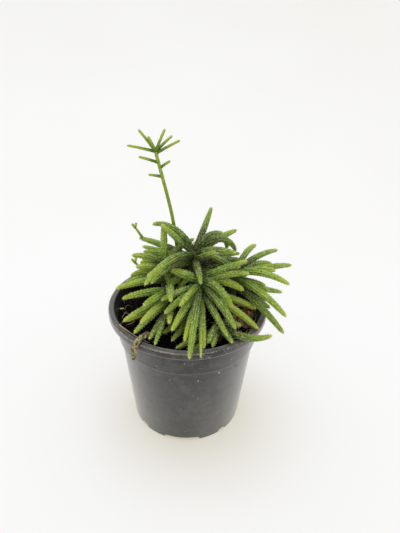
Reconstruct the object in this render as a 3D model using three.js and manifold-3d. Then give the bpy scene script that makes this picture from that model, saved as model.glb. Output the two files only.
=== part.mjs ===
// A mistletoe cactus in its nursery pot, in millimetres, +Z up.
// The origin is the middle of the pot's foot, on the surface that it stands on.
// The pot is a thin moulded tapered cup with a turned lip, a shoulder and a notched foot, full of soil.
// Short woody canes stand in holes in the soil. Each carries a mop of fat, ribbed, drooping stems, and each
// cane with its stems is one solid. One long thin shoot rises behind them, with a whorl of young stems.
import * as THREE from "three";
import { mergeVertices } from "three/addons/utils/BufferGeometryUtils.js";
import Module from "manifold-3d";

const wasm = await Module();
wasm.setup();

// ---------------------------------------------------------------- driving dimensions
const POT = {
  height: 92,
  lipRadius: 54, // outside of the turned lip
  lipHeight: 5,
  bandTopRadius: 49.4, // outside of the wall just under the lip
  shoulderHeight: 70, // where the flared top band steps in to the body
  bandFootRadius: 48.1,
  bodyTopRadius: 46.5,
  footRadius: 39.4,
  wall: 1.3,
  floorHeight: 3.4, // underside of the floor's raised ring, above the surface
  floor: 1.6,
  footRing: 3.2, // width of the ring that the pot stands on
  padRadius: 14, // the middle of the floor comes down to the surface
  padSlope: 2,
  sides: 32,
};
const NOTCH = {
  firstHeading: 265, // degrees; the four wide notches are a quarter turn apart
  wide: 38, // degrees
  narrow: 10, // degrees; one lies halfway between each two wide ones
  height: 2.6,
  corner: 3,
  reach: 16, // how far the cutter runs through the foot
};
const DRAIN = { radius: 3, ring: 26, sides: 10 };
const SOIL = {
  level: 83.5,
  bump: 1.1,
  gap: 0.3,
  facet: 0.2, // the pot's flat facets lie this far inside its round
  topFlare: 0.9,
  sides: 24,
  rings: [43, 34, 25, 16, 8],
};
const STALK = { footRadius: 3.4, topRadius: 2.7, sides: 8, depth: 14, hole: 0.45 };
const STEM = { sides: 8, valley: 0.84, bump: 0.06, beads: 14, stations: [0, 0.28, 0.6, 0.88, 1] };
const YOUNG = { radius: 0.95, sides: 5, droop: 6, twigs: [60, 180, 300], twigRise: 55, twigLength: 3.5 };

// How the stems make room for each other and for what is round them. Gaps are in mm.
const CLEAR = {
  betweenCanes: 0.9,
  inOneCane: -1.6, // stems of one cane may press into each other
  fusedBeads: 6, // and near their roots they are fused
  rounds: 100,
  share: 0.7, // of the missing room that one round makes good
  solid: 0.6, // from the pot, the soil, the stalks and the shoot
  firmYield: 0.1,
  lipGuard: 2.4, // stems pass this far from the middle of the lip
  lipMiddle: 1.5, // which lies this far inside its edge and below its top
  lipZone: 6, // soil can't be under a stem this near to the lip's edge
  shoot: 0.6,
  crown: 2, // a stalk is in the way up to this far above its crown
};

// ---------------------------------------------------------------- the plant
// A cane has a foot on the soil and a crown. Each of its stems is one row:
// [millimetres below the crown, heading, rise, length, droop], with angles in degrees.
// Heading 0 is +X and 90 is +Y. The stem leaves at that rise, and turns down by the droop on its way.
// Where a row has a sixth number, the stem is so many times as thick as its cane's others.
// The first rows of a cane, as many as `firm` says, keep their places where stems meet. The others give way.
const CANES = [
  {
    name: "cane_centre", foot: [4, 7], crown: [4, 8, 128], girth: 4.5, firm: 14,
    stems: [
      [0, 65, 30, 34, -15], [4, 145, 70, 41, 100], [2, 160, 35, 29, 0], [1, 45, 30, 30, 45],
      [2, 25, 55, 40, 130], [3, 35, 25, 36, 20], [3, 330, 40, 32, 45], [6, 325, 40, 20, 15],
      [4, 230, 35, 50, 70], [6, 225, 25, 40, 65], [8, 280, 20, 28, 50], [7, 145, 10, 48, 15],
      [8, 155, 5, 40, 5], [1, 40, 60, 42, 150], [9, 160, 15, 36, 20], [8, 105, 10, 34, 20],
      [10, 60, 5, 32, 20], [12, 175, 10, 36, 15], [11, 10, 10, 32, 25], [9, 195, 15, 38, 30],
    ],
    // thin young stems at the tips: [stem's row, heading, rise, length]
    young: [[11, 160, 55, 11]],
  },
  {
    name: "cane_front", foot: [8, -9], crown: [8, -10, 118], girth: 4.5, firm: 16,
    stems: [
      [2, 165, 20, 19, 0, 1.25], [4, 262, -12, 54, 22], [12, 270, -10, 50, 10, 0.6],
      [10, 275, -15, 42, 15], [8, 295, -20, 40, 5], [4, 305, 0, 40, 40], [2, 310, 30, 30, 80],
      [0, 345, 30, 24, 55, 1.15], [5, 350, 40, 33, 40], [0, 350, 40, 31, 10], [3, 0, 45, 28, 40],
      [4, 240, 5, 26, 20], [6, 240, -10, 38, 20], [12, 350, 5, 38, 30], [10, 330, -10, 46, 25],
      [0, 170, 10, 20, 100, 0.7], [10, 255, -10, 40, 15], [8, 225, 5, 32, 25], [6, 200, 10, 30, 20],
    ],
  },
  {
    name: "cane_right", foot: [28, 0], crown: [32, -2, 121], girth: 4.4, firm: 9,
    stems: [
      [0, 60, 35, 30, 55], [2, 40, 20, 40, 35], [4, 30, 20, 30, 45], [6, 20, 10, 42, 20],
      [4, 330, 30, 38, 50], [14, 15, -15, 38, 5], [8, 310, 10, 46, 35], [12, 310, -10, 48, 20],
      [10, 330, 20, 22, 25], [8, 95, 20, 30, 30], [12, 60, 0, 32, 20], [10, 345, 5, 24, 30],
      [6, 195, 10, 26, 30], [16, 335, -10, 28, 15], [4, 0, 20, 26, 30], [2, 150, 25, 24, 20],
    ],
  },
  {
    name: "cane_left", foot: [-15, 2], crown: [-16, 4, 123], girth: 4.4, firm: 8,
    stems: [
      [0, 95, 35, 29, 0], [3, 180, 40, 21, 50], [4, 165, 10, 17, 25], [10, 125, 15, 32, 50],
      [10, 170, 15, 25, 55], [15, 215, 20, 37, 20], [10, 140, 10, 25, 55], [8, 290, 0, 24, 80],
      [6, 190, 20, 19, 25], [2, 30, 35, 26, 35], [16, 155, -10, 26, 10], [10, 110, 5, 32, 20],
      [12, 185, 0, 26, 15], [16, 95, -10, 28, 10],
    ],
    young: [[6, 160, 45, 8]],
  },
  {
    name: "cane_front_left", foot: [-10, -18], crown: [-12, -13, 114], girth: 4.4, firm: 8,
    stems: [
      [3, 185, 0, 31, 20], [4, 225, 10, 22, 20], [8, 210, -5, 34, 15], [8, 235, 0, 30, 10],
      [10, 230, -5, 34, 15], [14, 245, -10, 30, 5], [0, 275, 25, 22, 50], [12, 270, 5, 22, 10],
      [12, 255, -10, 34, 10, 0.8], [12, 200, -10, 30, 10, 0.8], [0, 50, 20, 20, 20],
    ],
  },
  {
    name: "cane_low", foot: [19, -30], crown: [20, -28, 96], girth: 4.1, firm: 3,
    stems: [
      [2, 315, -5, 44, -50], [2, 255, -5, 18, 10], [0, 245, 20, 18, 40], [5, 205, -5, 30, 10],
      [6, 225, -5, 24, 15], [0, 350, 10, 14, 25], [3, 285, 0, 20, 20],
    ],
  },
  {
    name: "cane_back", foot: [4, 26], crown: [5, 27, 113], girth: 4.5, firm: 0,
    stems: [
      [0, 60, 20, 32, 25], [2, 115, 20, 34, 30], [4, 165, 10, 34, 20], [5, 15, 15, 34, 20],
      [7, 90, 10, 38, 25], [9, 135, 5, 36, 20], [9, 40, 0, 38, 20], [13, 105, -10, 34, 15],
      [14, 70, -10, 34, 15], [13, 180, -5, 30, 10], [15, 0, -10, 30, 10], [16, 150, -15, 30, 10],
    ],
  },
];
const STEM_SEED = 20;
const GIRTH_SPREAD = [0.92, 0.2]; // a stem has this share of its cane's girth, and up to this much more

const SHOOT = {
  name: "long_shoot", foot: [-6, 24], bend: [-10, 24, 138], top: [-21, 20, 191],
  radius: 1.25,
  stations: [0, 0.15, 0.3, 0.45, 0.6, 0.7, 0.8, 0.9, 1],
  // [share of the way up, heading, rise, length]
  young: [
    [1, 180, 56, 17], [1, 200, 68, 11], [1, 20, 68, 15], [1, 45, 30, 16], [0.99, 10, 30, 17],
    [1, 178, 14, 18], [0.94, 190, 22, 13], [0.91, 10, 36, 8], [0.86, 172, 8, 9],
  ],
};
const DRIED_ROOT = {
  name: "dried_root", radius: 1.7, lump: 0.35, rings: 15,
  // from between the stems, over the lip and down outside, as [distance from the axis, height]
  path: [[43, 92.2], [45.5, 93.8], [48.5, 94.5], [52, 94.6], [55.2, 94], [57.4, 90.8], [58.2, 87], [58, 83]],
  heading: 236,
};

// ---------------------------------------------------------------- helpers
const RAD = Math.PI / 180;

// A seeded draw from 0 to 1, the same on every run.
function drawer(seed) {
  let state = seed >>> 0;
  return () => {
    state = (Math.imul(state, 1664525) + 1013904223) >>> 0;
    return state / 4294967296;
  };
}

function solid(geometry) {
  const bare = geometry.clone();
  bare.deleteAttribute("normal");
  bare.deleteAttribute("uv");
  const merged = mergeVertices(bare, 1e-4);
  return new wasm.Manifold(
    new wasm.Mesh({
      numProp: 3,
      vertProperties: new Float32Array(merged.attributes.position.array),
      triVerts: new Uint32Array(merged.index.array),
    }),
  );
}

// The largest body of a solid: scraps and sealed hollows are left behind.
function mainBody(whole) {
  return whole.decompose().reduce((a, b) => (b.volume() > a.volume() ? b : a));
}

function geometryOf(whole) {
  const mesh = whole.getMesh();
  const geometry = new THREE.BufferGeometry();
  geometry.setAttribute("position", new THREE.BufferAttribute(new Float32Array(mesh.vertProperties), 3));
  geometry.setIndex(new THREE.BufferAttribute(new Uint32Array(mesh.triVerts), 1));
  geometry.computeVertexNormals();
  return geometry;
}

// A body of revolution about Z from a closed profile of [radius, height] points. heightAt(x, y, z), where it
// is given, sets each point's height anew.
function turned(profile, sides, heightAt) {
  const points = [...profile, profile[0]].map(([r, z]) => new THREE.Vector2(r, z));
  const lathe = new THREE.LatheGeometry(points, sides);
  lathe.rotateX(Math.PI / 2);
  const place = lathe.attributes.position;
  for (let k = 0; heightAt && k < place.count; k++) {
    const [x, y, z] = [place.getX(k), place.getY(k), place.getZ(k)];
    place.setZ(k, heightAt(x, y, z));
  }
  const body = solid(lathe);
  return body.volume() > 0 ? body : solid(flipped(lathe));
}

function flipped(geometry) {
  const index = geometry.index.array;
  for (let i = 0; i < index.length; i += 3) [index[i + 1], index[i + 2]] = [index[i + 2], index[i + 1]];
  return geometry;
}

// A closed skin over rings of points, with a pole past each end.
function skin(rings, startPole, endPole) {
  const sides = rings[0].length;
  const points = [...rings.flat(), startPole, endPole];
  const start = points.length - 2;
  const end = points.length - 1;
  const faces = [];
  for (let k = 0; k < sides; k++) {
    const next = (k + 1) % sides;
    faces.push(start, next, k);
    for (let ring = 0; ring + 1 < rings.length; ring++) {
      const a = ring * sides;
      const b = a + sides;
      faces.push(a + k, a + next, b + k, a + next, b + next, b + k);
    }
    const last = (rings.length - 1) * sides;
    faces.push(last + k, last + next, end);
  }
  const geometry = new THREE.BufferGeometry().setFromPoints(points);
  geometry.setIndex(faces);
  return geometry;
}

// How far a swept body's poles stand out: mm at its start, and a share of its last radius at its end.
const POLE = { start: 0.3, end: 0.12 };

// Sweeps a section along a curve. stations are shares of its length, and radiusAt(station, side, ring) is in
// mm. The ends close in a pole a little past the first and the last ring.
function swept(curve, stations, sides, radiusAt, spin = 0) {
  const first = curve.getTangent(0);
  const aside = Math.abs(first.z) > 0.95 ? new THREE.Vector3(0, 1, 0) : new THREE.Vector3(0, 0, 1);
  let across = aside.cross(first).normalize();
  const rings = stations.map((station, ring) => {
    const middle = curve.getPoint(station);
    const along = curve.getTangent(station);
    across = across.clone().addScaledVector(along, -across.dot(along)).normalize();
    const up = along.clone().cross(across);
    return Array.from({ length: sides }, (_, k) => {
      const turn = (k / sides) * 2 * Math.PI;
      const r = radiusAt(station, k, ring);
      return middle
        .clone()
        .addScaledVector(across, r * Math.cos(turn + spin))
        .addScaledVector(up, r * Math.sin(turn + spin));
    });
  });
  const endStep = POLE.end * radiusAt(1, 0, stations.length - 1);
  const start = curve.getPoint(0).addScaledVector(curve.getTangent(0), -POLE.start);
  const end = curve.getPoint(1).addScaledVector(curve.getTangent(1), endStep);
  return solid(skin(rings, start, end));
}

// ---------------------------------------------------------------- how the stems lie
// The line of a drooping stem, as evenly spaced beads.
function stemLine(root, heading, rise, length, droop) {
  const beads = [new THREE.Vector3(...root)];
  const steps = STEM.beads - 1;
  const step = length / steps;
  const ahead = new THREE.Vector3(Math.cos(heading * RAD), Math.sin(heading * RAD), 0);
  for (let k = 0; k < steps; k++) {
    const tilt = (rise - (droop * (k + 0.5)) / steps) * RAD;
    const bead = beads[k].clone().addScaledVector(ahead, step * Math.cos(tilt));
    bead.z += step * Math.sin(tilt);
    beads.push(bead);
  }
  return beads;
}

// How thick a stem is along its length, as a share of its radius: a narrow root, a full middle, and a taper
// that ends in a small blunt tip.
function fullness(share) {
  const root = 0.72 + 0.28 * Math.min(1, share / 0.25);
  const taper = 1 - 0.42 * Math.max(0, (share - 0.45) / 0.55) ** 1.5;
  const tip = Math.sqrt(1 - (Math.max(0, share - 0.93) / 0.075) ** 2);
  return root * taper * tip;
}
const BEAD_FULLNESS = Array.from({ length: STEM.beads }, (_, k) => fullness(k / (STEM.beads - 1)));

// The place on a cane's stalk so many mm below its crown.
function canePoint(cane, below) {
  const [x, y, z] = cane.crown;
  const share = Math.min(1, below / (z - SOIL.level));
  return [x + (cane.foot[0] - x) * share, y + (cane.foot[1] - y) * share, z - below];
}

// Every stem of every cane, with its girth and turn drawn once.
function growStems() {
  const draw = drawer(STEM_SEED);
  const [least, spread] = GIRTH_SPREAD;
  return CANES.flatMap((cane, caneNumber) =>
    cane.stems.map(([below, heading, rise, length, droop, plumpness = 1], row) => ({
      cane: caneNumber,
      yielding: row < cane.firm ? CLEAR.firmYield : 1,
      radius: (cane.girth / 2) * (least + spread * draw()) * plumpness,
      spin: draw() * Math.PI,
      beads: stemLine(canePoint(cane, below), heading, rise, length, droop),
    })),
  );
}

// Swings bead number `bead` and all that is beyond it by `push`, with the root held still.
function swing(stem, bead, push) {
  for (let k = 1; k < stem.beads.length; k++) stem.beads[k].addScaledVector(push, k / bead);
}

function lift(stem, bead, height) {
  swing(stem, bead, new THREE.Vector3(0, 0, height));
}

function boxOf(stem) {
  return new THREE.Box3().setFromPoints(stem.beads).expandByScalar(stem.radius + CLEAR.betweenCanes / 2);
}

// Pushes two stems apart at the place where they are deepest in each other.
function partPair(a, b) {
  const inOneCane = a.cane === b.cane;
  const first = inOneCane ? CLEAR.fusedBeads : 1;
  const gap = inOneCane ? CLEAR.inOneCane : CLEAR.betweenCanes;
  let worst = 0;
  let at = null;
  for (let k = first; k < STEM.beads; k++)
    for (let l = first; l < STEM.beads; l++) {
      const need = a.radius * BEAD_FULLNESS[k] + b.radius * BEAD_FULLNESS[l] + gap;
      const short = need - a.beads[k].distanceTo(b.beads[l]);
      if (short > worst) {
        worst = short;
        at = [k, l];
      }
    }
  if (!at) return;
  const [k, l] = at;
  const push = a.beads[k].clone().sub(b.beads[l]).normalize();
  push.multiplyScalar((worst * CLEAR.share) / (a.yielding + b.yielding));
  swing(a, k, push.clone().multiplyScalar(a.yielding));
  swing(b, l, push.clone().multiplyScalar(-b.yielding));
}

// Stems push each other aside where they would cross, and keep off the canes, the soil and the pot's lip.
function settle(stems) {
  const shootPoints = shootLine().getPoints(40);
  for (let round = 0; round < CLEAR.rounds; round++) {
    stems.forEach((a, i) => {
      const box = boxOf(a);
      const near = stems.slice(i + 1).filter((b) => boxOf(b).intersectsBox(box));
      for (const b of near) partPair(a, b);
    });
    for (const stem of stems) keepOff(stem, shootPoints);
  }
}

// The middle line of the long shoot, from under the soil to its top.
function shootLine() {
  const [x, y] = SHOOT.foot;
  const under = new THREE.Vector3(x, y, SOIL.level - STALK.depth);
  const above = new THREE.Vector3(x, y, SOIL.level + 4);
  return new THREE.CatmullRomCurve3([
    under, above, new THREE.Vector3(...SHOOT.bend), new THREE.Vector3(...SHOOT.top),
  ]);
}

// Holds one stem clear of the soil, the pot's lip, the other canes' stalks and the long shoot.
function keepOff(stem, shootPoints) {
  for (let k = 2; k < STEM.beads; k++) {
    const bead = stem.beads[k];
    const r = stem.radius * BEAD_FULLNESS[k] + CLEAR.solid;
    const out = Math.hypot(bead.x, bead.y);
    const lowest = SOIL.level + SOIL.bump + r;
    const overSoil = out < POT.lipRadius - CLEAR.lipZone;
    if (overSoil && bead.z < lowest) lift(stem, k, (lowest - bead.z) * CLEAR.share);
    const fromLip = Math.hypot(
      out - (POT.lipRadius - CLEAR.lipMiddle), bead.z - (POT.height - CLEAR.lipMiddle),
    );
    if (fromLip < r + CLEAR.lipGuard) lift(stem, k, (r + CLEAR.lipGuard - fromLip) * CLEAR.share);
    let worst = 0;
    let nearest = null;
    for (const [point, radius] of obstacles(stem, bead, shootPoints)) {
      const short = radius + r - bead.distanceTo(point);
      if (short > worst) {
        worst = short;
        nearest = point;
      }
    }
    if (nearest) swing(stem, k, bead.clone().sub(nearest).normalize().multiplyScalar(worst * CLEAR.share));
  }
}

// What a stem must go round, as middle points with a radius: the other canes' stalks, level with one of its
// beads, and the long shoot.
function obstacles(stem, bead, shootPoints) {
  const others = CANES.filter((cane, number) => number !== stem.cane);
  const stalks = others.filter((cane) => bead.z <= cane.crown[2] + CLEAR.crown);
  return [
    ...stalks.map((cane) => {
      const [x, y] = canePoint(cane, Math.max(0, cane.crown[2] - bead.z));
      return [new THREE.Vector3(x, y, bead.z), STALK.footRadius];
    }),
    ...shootPoints.map((point) => [point, SHOOT.radius + CLEAR.shoot]),
  ];
}

// ---------------------------------------------------------------- the pieces
function potSolid() {
  let pot = turned(potProfile(), POT.sides);
  for (let quarter = 0; quarter < 4; quarter++) {
    const heading = NOTCH.firstHeading + quarter * 90;
    pot = pot.subtract(notchSolid(heading, NOTCH.wide));
    pot = pot.subtract(notchSolid(heading + 45, NOTCH.narrow));
    pot = pot.subtract(drainSolid(heading));
  }
  return mainBody(pot);
}

// The pot's section: up its outside, over the lip, and down its inside to the floor.
function potProfile() {
  const inside = (r) => r - POT.wall;
  const lipFoot = POT.height - POT.lipHeight;
  const floorTop = POT.floorHeight + POT.floor;
  return [
    [0, 0],
    [POT.padRadius, 0],
    [POT.padRadius + POT.padSlope, POT.floorHeight],
    [POT.footRadius - POT.footRing, POT.floorHeight],
    [POT.footRadius - POT.footRing, 0],
    [POT.footRadius - 0.4, 0],
    [POT.footRadius, 0.5],
    [POT.bodyTopRadius, POT.shoulderHeight - 1],
    [POT.bandFootRadius, POT.shoulderHeight],
    [POT.bandTopRadius, lipFoot],
    [POT.lipRadius - 0.6, lipFoot],
    [POT.lipRadius, lipFoot + 0.8],
    [POT.lipRadius, POT.height - 0.8],
    [POT.lipRadius - 0.7, POT.height],
    [POT.bandTopRadius + 0.2, POT.height],
    [inside(POT.bandTopRadius), lipFoot - 0.6],
    [inside(POT.bandFootRadius), POT.shoulderHeight + 0.6],
    [inside(POT.bodyTopRadius), POT.shoulderHeight - 1.4],
    [inside(POT.footRadius) + 0.4, floorTop],
    [POT.padRadius + 0.4, floorTop],
    [POT.padRadius - POT.padSlope, POT.floor],
    [0, POT.floor],
  ];
}

function drainSolid(heading) {
  const drain = new THREE.CylinderGeometry(DRAIN.radius, DRAIN.radius, 4 * POT.floor, DRAIN.sides);
  drain.rotateX(Math.PI / 2);
  drain.translate(DRAIN.ring, 0, POT.floorHeight);
  drain.rotateZ(heading * RAD);
  return solid(drain);
}

// A flat arch that cuts the pot's foot, `width` degrees wide.
function notchSolid(heading, width) {
  const half = POT.footRadius * Math.sin((width / 2) * RAD);
  const corner = Math.min(half * 0.5, NOTCH.corner);
  const arch = new THREE.Shape();
  arch.moveTo(-half, -1);
  arch.lineTo(-half, 0);
  arch.quadraticCurveTo(-half + corner * 0.3, NOTCH.height, -half + corner, NOTCH.height);
  arch.lineTo(half - corner, NOTCH.height);
  arch.quadraticCurveTo(half - corner * 0.3, NOTCH.height, half, 0);
  arch.lineTo(half, -1);
  arch.closePath();
  const run = { depth: NOTCH.reach, bevelEnabled: false, curveSegments: 3 };
  const cutter = new THREE.ExtrudeGeometry(arch, run);
  cutter.translate(0, 0, POT.footRadius - NOTCH.reach / 2);
  // the arch's own X runs across the notch, its Y is up and its depth runs outwards
  const toRadial = new THREE.Matrix4().makeBasis(
    new THREE.Vector3(0, 1, 0), new THREE.Vector3(0, 0, 1), new THREE.Vector3(1, 0, 0),
  );
  cutter.applyMatrix4(toRadial);
  cutter.rotateZ(heading * RAD);
  return solid(cutter);
}

// How far the soil's surface stands above its level at a place: two crossing waves.
function soilBump(x, y) {
  const broad = Math.sin(x * 0.31 + 1.3) * Math.cos(y * 0.27);
  const slanted = Math.sin(x * 0.13 - y * 0.53);
  return SOIL.bump * (0.6 * broad + 0.4 * slanted);
}

function soilSolid() {
  let soil = turned(soilProfile(), SOIL.sides, (x, y, z) =>
    z > SOIL.level - 0.5 ? SOIL.level + soilBump(x, y) : z,
  );
  for (const cane of CANES) {
    soil = soil.subtract(stalkSolid(cane.foot, cane.foot, SOIL.level + 6, STALK.hole));
  }
  soil = soil.subtract(stalkSolid(SHOOT.foot, SHOOT.foot, SOIL.level + 6, STALK.hole, SHOOT.radius + 0.1));
  return mainBody(soil);
}

// The soil's section follows the inside of the pot a small gap away from it.
function soilProfile() {
  const wallAt = (z) => {
    const share = (z - POT.floorHeight) / (POT.shoulderHeight - POT.floorHeight);
    return POT.footRadius + (POT.bodyTopRadius - POT.footRadius) * share - POT.wall - SOIL.gap - SOIL.facet;
  };
  const padTop = POT.floor + SOIL.gap;
  const bottom = POT.floorHeight + padTop;
  const upper = POT.bandFootRadius - POT.wall - SOIL.gap - SOIL.facet;
  return [
    [0, padTop],
    [POT.padRadius - POT.padSlope - SOIL.gap, padTop],
    [POT.padRadius, bottom],
    [wallAt(bottom), bottom],
    [wallAt(POT.shoulderHeight) - 0.2, POT.shoulderHeight - 2],
    [upper, POT.shoulderHeight + 2],
    [upper + SOIL.topFlare, SOIL.level - 1],
    ...SOIL.rings.map((r) => [r, SOIL.level]),
    [0, SOIL.level],
  ];
}

// A cane's woody stalk: straight down into the soil, and leaning from there to its crown. With `extra` it is
// the straight hole for one, that much wider.
function stalkSolid(foot, crown, crownHeight, extra = 0, footRadius = STALK.footRadius) {
  const [x, y] = foot;
  const line = new THREE.CatmullRomCurve3([
    new THREE.Vector3(x, y, SOIL.level - STALK.depth - extra),
    new THREE.Vector3(x, y, SOIL.level - 4),
    new THREE.Vector3(x, y, SOIL.level + 2),
    new THREE.Vector3(...crown, crownHeight),
  ]);
  const taper = extra ? 0 : STALK.topRadius - footRadius;
  return swept(line, [0, 0.25, 0.5, 0.75, 1], STALK.sides, (share) => footRadius + taper * share + extra);
}

// One fat stem: ribs run its length, and their crests rise and fall at the areoles.
function stemSolid(stem) {
  const line = new THREE.CatmullRomCurve3(stem.beads);
  const radiusAt = (share, side, ring) => {
    const onAreole = (side / 2 + ring) % 2 ? 1 : -0.4;
    const section = side % 2 === 0 ? 1 + STEM.bump * onAreole : STEM.valley;
    return stem.radius * fullness(share) * section;
  };
  return swept(line, STEM.stations, STEM.sides, radiusAt, stem.spin);
}

function caneSolid(cane, stems) {
  const stalk = stalkSolid(cane.foot, cane.crown.slice(0, 2), cane.crown[2]);
  const young = (cane.young ?? []).flatMap(([row, ...way]) => youngWithTwigs(stems[row], way));
  return mainBody(wasm.Manifold.union([stalk, ...stems.map(stemSolid), ...young]));
}

// A thin young stem that grows from a fat one's tip, with its own three twigs.
function youngWithTwigs(stem, [heading, rise, length]) {
  const beads = stemLine(stem.beads.at(-2).toArray(), heading, rise, length, YOUNG.droop);
  const { twigs, twigRise, twigLength, droop } = YOUNG;
  const twigLines = twigs.map((turn) => stemLine(beads.at(-2).toArray(), turn, twigRise, twigLength, droop));
  return [beads, ...twigLines].map(youngSolid);
}

// A thin young stem.
function youngSolid(beads) {
  const line = new THREE.CatmullRomCurve3(beads);
  return swept(line, [0, 0.5, 0.85, 1], YOUNG.sides, (share) => YOUNG.radius * (1.1 - 0.25 * share));
}

// The thin shoot with its whorl of young stems.
function shootSolid() {
  const line = shootLine();
  const whorl = SHOOT.young.map(([share, heading, rise, length]) =>
    youngSolid(stemLine(line.getPointAt(share).toArray(), heading, rise, length, YOUNG.droop)),
  );
  const shoot = swept(line, SHOOT.stations, STALK.sides, () => SHOOT.radius);
  return mainBody(wasm.Manifold.union([shoot, ...whorl]));
}

// A withered piece of root that hooks over the pot's lip.
function driedRootSolid() {
  const { path, rings, radius, lump } = DRIED_ROOT;
  const line = new THREE.CatmullRomCurve3(path.map(([out, z]) => new THREE.Vector3(out, 0, z)));
  const stations = Array.from({ length: rings }, (_, k) => k / (rings - 1));
  const radiusAt = (share, side, ring) => radius + lump * Math.sin(ring * 2.3 + side * 1.7);
  return swept(line, stations, STALK.sides, radiusAt);
}

// ---------------------------------------------------------------- the assembly
const COLOUR = {
  pot: { color: 0x37373a, roughness: 0.45 },
  soil: { color: 0x1c1511, roughness: 1 },
  stem: { color: 0x5f8a2c, roughness: 0.55 },
  shoot: { color: 0x7c9a35, roughness: 0.6 },
  root: { color: 0xa08a5c, roughness: 0.9 },
};

const cactus = new THREE.Group();

function addPiece(name, whole, look, headingDegrees = 0) {
  const mesh = new THREE.Mesh(geometryOf(whole), new THREE.MeshStandardMaterial({ ...look, metalness: 0 }));
  mesh.name = name;
  mesh.rotation.z = headingDegrees * RAD;
  cactus.add(mesh);
}

const stems = growStems();
settle(stems);

addPiece("pot", potSolid(), COLOUR.pot);
addPiece("soil", soilSolid(), COLOUR.soil);
CANES.forEach((cane, number) => {
  const own = stems.filter((stem) => stem.cane === number);
  addPiece(cane.name, caneSolid(cane, own), COLOUR.stem);
});
addPiece(SHOOT.name, shootSolid(), COLOUR.shoot);
addPiece(DRIED_ROOT.name, driedRootSolid(), COLOUR.root, DRIED_ROOT.heading);

export default cactus;
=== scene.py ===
# %% [markdown]
# # A mistletoe cactus in its nursery pot
# A mistletoe cactus is a hanging forest cactus. It has no leaves: what looks like foliage is a mop of fat
# green stems, each with low ribs, rows of small bristly dots called areoles, and a pale growing tip. This
# one stands in a dark plastic nursery pot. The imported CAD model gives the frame: every size and place below
# is in metres in that frame, or in millimetres where a name or a comment says so.

# %% Load the frame
import math

import bmesh
import bpy
import numpy as np
from mathutils import Matrix, Vector, noise


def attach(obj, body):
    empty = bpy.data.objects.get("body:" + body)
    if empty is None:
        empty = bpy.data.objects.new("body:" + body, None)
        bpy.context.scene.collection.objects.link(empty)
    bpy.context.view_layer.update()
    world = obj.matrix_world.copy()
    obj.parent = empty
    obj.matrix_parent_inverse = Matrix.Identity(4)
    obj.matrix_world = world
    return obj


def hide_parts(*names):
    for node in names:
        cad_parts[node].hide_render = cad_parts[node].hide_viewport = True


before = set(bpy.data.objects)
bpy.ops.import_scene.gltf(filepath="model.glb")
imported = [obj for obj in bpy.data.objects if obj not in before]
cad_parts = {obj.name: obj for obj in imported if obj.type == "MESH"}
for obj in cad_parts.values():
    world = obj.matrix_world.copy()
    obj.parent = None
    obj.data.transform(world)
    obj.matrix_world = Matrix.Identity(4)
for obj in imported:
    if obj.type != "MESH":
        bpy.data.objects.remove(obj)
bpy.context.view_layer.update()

MM = 0.001

# %% [markdown]
# ## Camera
# The view looks down on the rim from a hand's height above the tallest stems. A camera is set either by eye
# or from its focal length, place and three turns. The numbers are used here, because then the rim's ellipse
# and the foot's curve both come out right.

# %% Camera
IMAGE_HEIGHT_PX = 533
FOCAL_PX = 500
SENSOR_MM = 36
CAMERA_PLACE = Vector((0, -281.8, 288.9)) * MM
CAMERA_YAW, CAMERA_PITCH, CAMERA_ROLL = (math.radians(a) for a in (1.55, 30.83, 1.43))
NEAREST_SEEN = 0.01

camera_data = bpy.data.cameras.new("camera")
camera_data.sensor_width = SENSOR_MM
camera_data.lens = FOCAL_PX / IMAGE_HEIGHT_PX * SENSOR_MM
camera_data.clip_start = NEAREST_SEEN
camera = bpy.data.objects.new("camera", camera_data)
bpy.context.scene.collection.objects.link(camera)
camera.matrix_world = (
    Matrix.Translation(CAMERA_PLACE)
    @ Matrix.Rotation(-CAMERA_YAW, 4, "Z")
    @ Matrix.Rotation(math.pi / 2 - CAMERA_PITCH, 4, "X")
    @ Matrix.Rotation(CAMERA_ROLL, 4, "Z")
)
bpy.context.scene.camera = camera
print("lens in mm:", round(camera_data.lens, 2))

# %% [markdown]
# ## Helpers for pieces and nodes
# A mesh is shaped as a bmesh and then put into the scene as an object. A material is a tree of nodes whose
# sockets are either linked or set. These few functions say that once, so that each later cell only says
# what is its own.

# %% Helpers for pieces
def add_object(name, mesh, material):
    """A mesh as an object at the origin, with its material."""
    obj = bpy.data.objects.new(name, mesh)
    bpy.context.scene.collection.objects.link(obj)
    mesh.materials.append(material)
    return obj


def mesh_from(bm, name, smooth=True):
    """A bmesh as a mesh with smooth or flat faces, and frees the bmesh."""
    mesh = bpy.data.meshes.new(name)
    bm.to_mesh(mesh)
    bm.free()
    mesh.polygons.foreach_set("use_smooth", [smooth] * len(mesh.polygons))
    return mesh


def spin_section(section, steps, unit=1, closed=True):
    """A bmesh from a section of points, as distance from the axis and height, spun once round Z."""
    bm = bmesh.new()
    points = [bm.verts.new((r * unit, 0, z * unit)) for r, z in section]
    onward = points[1:] + points[:1] if closed else points[1:]
    edges = [bm.edges.new(pair) for pair in zip(points, onward)]
    bmesh.ops.spin(
        bm, geom=points + edges, cent=(0, 0, 0), axis=(0, 0, 1), angle=2 * math.pi, steps=steps,
        use_merge=True,
    )
    bmesh.ops.remove_doubles(bm, verts=bm.verts, dist=1e-6)
    if closed:
        bmesh.ops.recalc_face_normals(bm, faces=bm.faces)
    return bm


print("helpers for pieces:", [helper.__name__ for helper in (add_object, mesh_from, spin_section)])


# %% Helpers for nodes
def new_material(name):
    """A material with its node tree and its Principled shader."""
    material = bpy.data.materials.new(name)
    material.use_nodes = True
    tree = material.node_tree
    return material, tree, tree.nodes["Principled BSDF"]


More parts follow.
